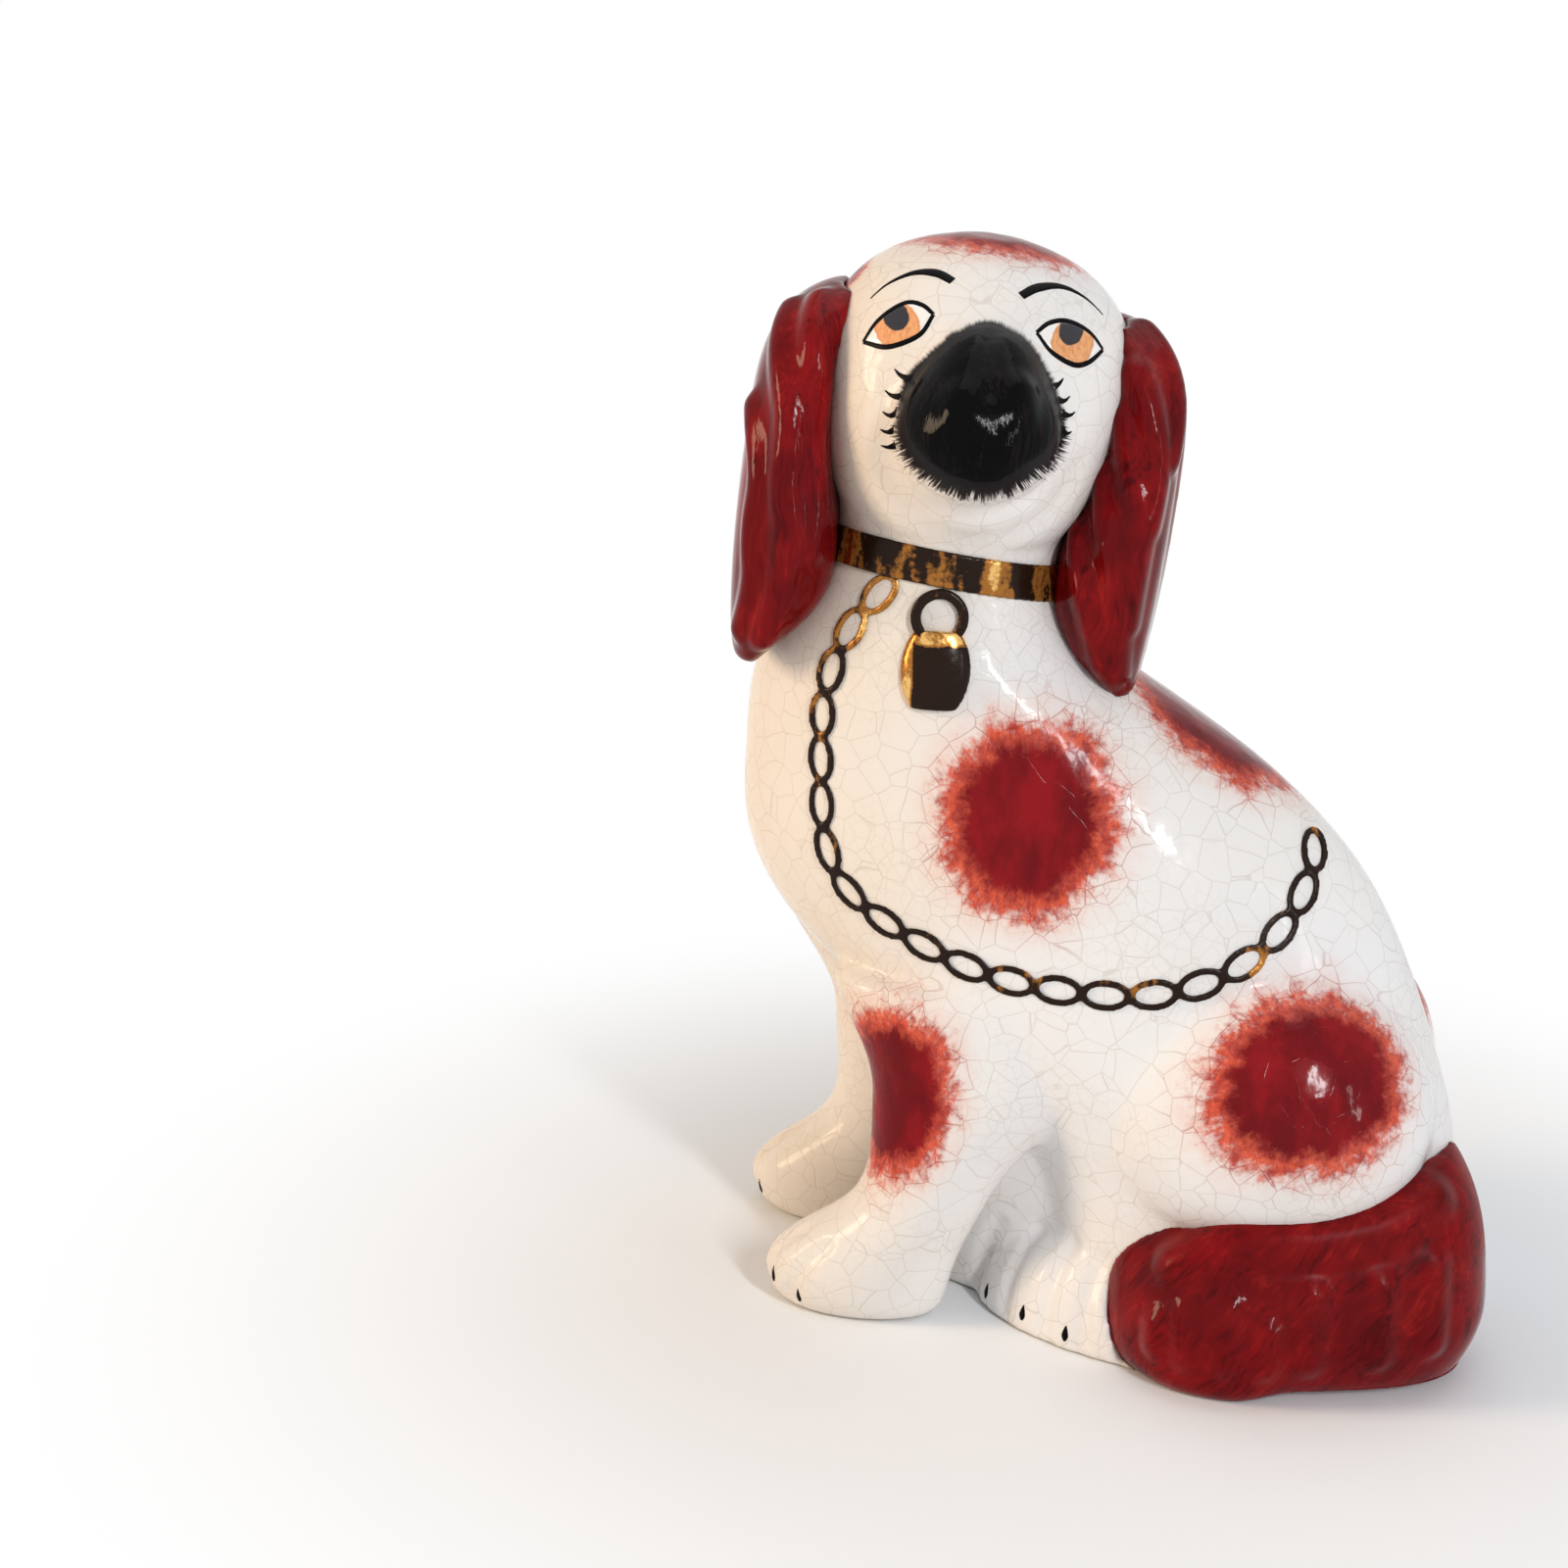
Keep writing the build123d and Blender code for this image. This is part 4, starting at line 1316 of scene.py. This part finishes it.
RIGHT_EAR = Locks("right_ear_fur", "right_ear", [
    [(-69.8, -14.5, 225.4), (-69.2, -23.6, 217.0), (-66.9, -25.2, 207.4), (-67.7, -27.1, 197.6),
     (-65.9, -25.5, 185.1), (-67.0, -28.3, 175.4)],
    [(-76.6, -10.8, 222.2), (-75.7, -23.2, 212.3), (-72.0, -28.7, 201.6), (-73.7, -30.2, 189.6),
     (-70.7, -30.6, 177.6), (-73.8, -29.5, 164.6), (-76.9, -27.6, 155.4)],
    [(-82.0, -18.1, 202.6), (-77.7, -27.2, 192.6), (-80.2, -26.2, 177.8), (-78.3, -27.8, 165.9),
     (-81.7, -24.7, 156.3)],
    [(-82.0, 3.0, 196.0), (-81.0, -2.0, 184.0), (-84.0, -4.0, 172.0), (-85.0, -4.0, 160.0)],
])
TAIL = Locks("tail_fur", "tail", [
    [(17.2, -43.0, 16.0), (17.4, -43.4, 11.5)],
    [(23.4, -44.6, 21.0), (23.6, -45.9, 15.1), (24.2, -46.1, 11.0)],
    [(32.5, -45.4, 22.5), (32.3, -46.7, 16.0), (32.5, -46.8, 11.0)],
    [(41.0, -45.4, 17.6), (40.7, -45.9, 12.8), (40.8, -45.8, 10.5)],
    [(49.7, -41.4, 26.0), (49.9, -42.8, 19.4), (50.1, -43.0, 11.0)],
    [(63.9, -36.4, 28.0), (64.4, -37.7, 21.2), (64.4, -38.1, 12.0)],
    [(74.3, -29.9, 32.0), (75.0, -31.7, 25.4), (75.5, -32.5, 14.0)],
], voxel=0.6, passes=12, reach=5.5, height=1.6, crest=(
    (20.4, -39.7, 29.0), (31.0, -38.7, 35.4), (40.4, -38.4, 36.9), (48.6, -37.1, 37.3), (56.6, -34.5, 38.6),
    (63.8, -31.4, 40.1), (72.3, -24.3, 44.2),
), tuck=((50.0, -44.0, -3.0), (70.0, -38.0, -2.0), (82.0, -28.0, 0.0), (88.0, -16.0, 1.0), (90.0, 4.0, 1.0)))
LEFT_LIDS = (
    ((-23.5, -22.8, 222.9), (-21.2, -20.0, 224.6), (-17.7, -17.3, 224.9), (-13.3, -15.0, 222.7),
     (-10.3, -14.0, 219.1)),
    ((-10.3, -14.0, 219.1), (-12.9, -18.3, 217.1), (-15.8, -21.2, 216.9), (-20.3, -23.1, 219.5),
     (-23.5, -22.8, 222.9)),
)
RIGHT_LIDS = (
    ((-58.5, -24.2, 218.8), (-55.8, -23.6, 223.5), (-50.8, -23.1, 227.2), (-47.1, -23.9, 227.1),
     (-44.4, -25.4, 225.6)),
    ((-44.4, -25.4, 225.6), (-46.8, -27.6, 221.6), (-52.9, -27.3, 218.8), (-58.5, -24.2, 218.8)),
)
EYES = (
    (Eye("left_eye", *LEFT_LIDS), (-16.4, -19.4, 220.8), (-16.9, -18.6, 223.0)),
    (Eye("right_eye", *RIGHT_LIDS), (-51.5, -26.1, 222.7), (-52.2, -24.3, 224.6)),
)
LID_WIDTHS = (0.50, 0.66, 0.72, 0.66, 0.50)
WHISKER_MARKS = (
    (-49.3, -30.7, 213.6), (-50.7, -30.9, 209.5), (-51.0, -31.5, 205.6), (-51.4, -31.6, 202.2),
    (-51.3, -31.5, 199.0), (-18.3, -24.9, 213.2), (-16.9, -24.8, 209.9), (-15.8, -24.2, 206.9),
    (-16.1, -24.8, 203.3), (-16.4, -28.0, 201.2),
)
CLAW_MARKS = (
    (-69.2, -23.2, 7.2), (-63.0, -27.3, 4.4), (-81.8, 24.3, 5.9), (-80.5, 32.0, 5.0),
    (-22.2, -13.4, 4.4), (-13.0, -22.8, 4.8), (-2.8, -29.0, 4.2), (-22.2, 20.0, 4.4),
    (-13.0, 29.5, 4.8), (-2.8, 35.5, 4.2),
)
WHISKER_IN, WHISKER_OUT, WHISKER_LIFT = 5.6, 2.2, 0.7
WHISKER_WIDTHS = (0.85, 0.60, 0.14)
CLAW_DOWN, CLAW_UP = 1.7, 1.9
CLAW_WIDTHS = (0.35, 0.90, 0.62, 0.10)


def whisker(mark: Point) -> Mark:
    """A short tick that springs from the snout through a point."""
    middle = Vector(mark)
    away = (middle - Vector((SNOUT_MIDDLE[0], mark[1], SNOUT_MIDDLE[2]))).normalized()
    tip = middle + WHISKER_OUT * away + Vector((0.0, 0.0, WHISKER_LIFT))
    return Mark((tuple(middle - WHISKER_IN * away), mark, tuple(tip)), WHISKER_WIDTHS)


def claw(mark: Point) -> Mark:
    """A small upright dab on a toe."""
    x, y, z = mark
    return Mark(((x, y, z - CLAW_DOWN), mark, (x, y, z + CLAW_UP)), CLAW_WIDTHS)


BRUSHWORK = (
    Brushwork("eyelid_lines", tuple(Mark(lid, LID_WIDTHS) for lid in (*LEFT_LIDS, *RIGHT_LIDS))),
    Brushwork("brow_lines", (
        Mark(((-58.8, -18.9, 227.2), (-55.3, -17.9, 230.6), (-50.1, -17.2, 232.9), (-45.4, -17.8, 233.0),
              (-41.6, -19.6, 231.8)), (0.16, 0.36, 0.70, 1.15, 0.95)),
        Mark(((-27.6, -18.6, 229.4), (-24.6, -15.1, 230.9), (-20.1, -11.3, 231.1), (-15.1, -9.4, 229.4),
              (-10.8, -8.5, 225.8)), (0.95, 1.10, 0.75, 0.38, 0.16)),
    )),
    Brushwork("whisker_lines", tuple(whisker(mark) for mark in WHISKER_MARKS)),
    Brushwork("claw_dabs", tuple(claw(mark) for mark in CLAW_MARKS)),
)
# Lustres with painted reflections: a shift towards umber, darker on the chain's lower links, and a painted
# gold highlight along the padlock's left side and top
SPRIGS = (
    (Gilding("gilded_collar", "collar"), GoldLustre("collar_lustre", dark_reflection_shift=(0.02, 0.02))),
    (
        Gilding("padlock_case", "padlock_body"),
        GoldLustre("padlock_lustre", dark_reflection_shift=(0.16, 0.16), rim_middle=(-39.7, -27.0, 151.5)),
    ),
    (Gilding("padlock_ring", "padlock_shackle"), GoldLustre("ring_lustre", dark_reflection_shift=(0.14, 0.14))),
    (
        Gilding("gilded_chain", "lead_chain", proud=-0.15),
        GoldLustre("chain_lustre", dark_reflection_shift=(0.11, -0.06), dark_reflection_heights=(142.0, 160.0)),
    ),
)


def main() -> None:
    """Builds and dresses every piece in order."""
    logging.basicConfig(level=logging.INFO, format="%(message)s")
    effects = Effects()
    Studio().build()
    glaze = WhiteGlaze().material(effects)
    ear_enamel = RedEnamel().material(effects)
    tail_red = RedEnamel("tail_enamel", turn=(0.0, 35.0, 0.0), dull_heights=(22.0, 34.0))
    tail_enamel = tail_red.material(effects)
    black = BlackEnamel().material(effects)
    body = Body()
    clay = WipedBase().material(effects)
    skin = body.build(clay)
    body.dress(skin, glaze)
    muzzle = Muzzle()
    muzzle.dress(muzzle.build(skin), black)
    for locks, enamel in ((LEFT_EAR, ear_enamel), (RIGHT_EAR, ear_enamel), (TAIL, tail_enamel)):
        locks.dress(locks.build(), enamel)
    for eye, iris, pupil in EYES:
        enamel = EyeEnamel(f"{eye.name}_enamel", iris, pupil).material(effects)
        eye.dress(eye.build(skin), enamel)
    for marks in BRUSHWORK:
        marks.dress(marks.build(skin), black)
    for sprig, lustre in SPRIGS:
        sprig.dress(sprig.build(), lustre.material(effects))
    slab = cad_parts["base_slab"]
    slab.data.materials.clear()
    slab.data.materials.append(clay)


if __name__ == "__main__":
    main()
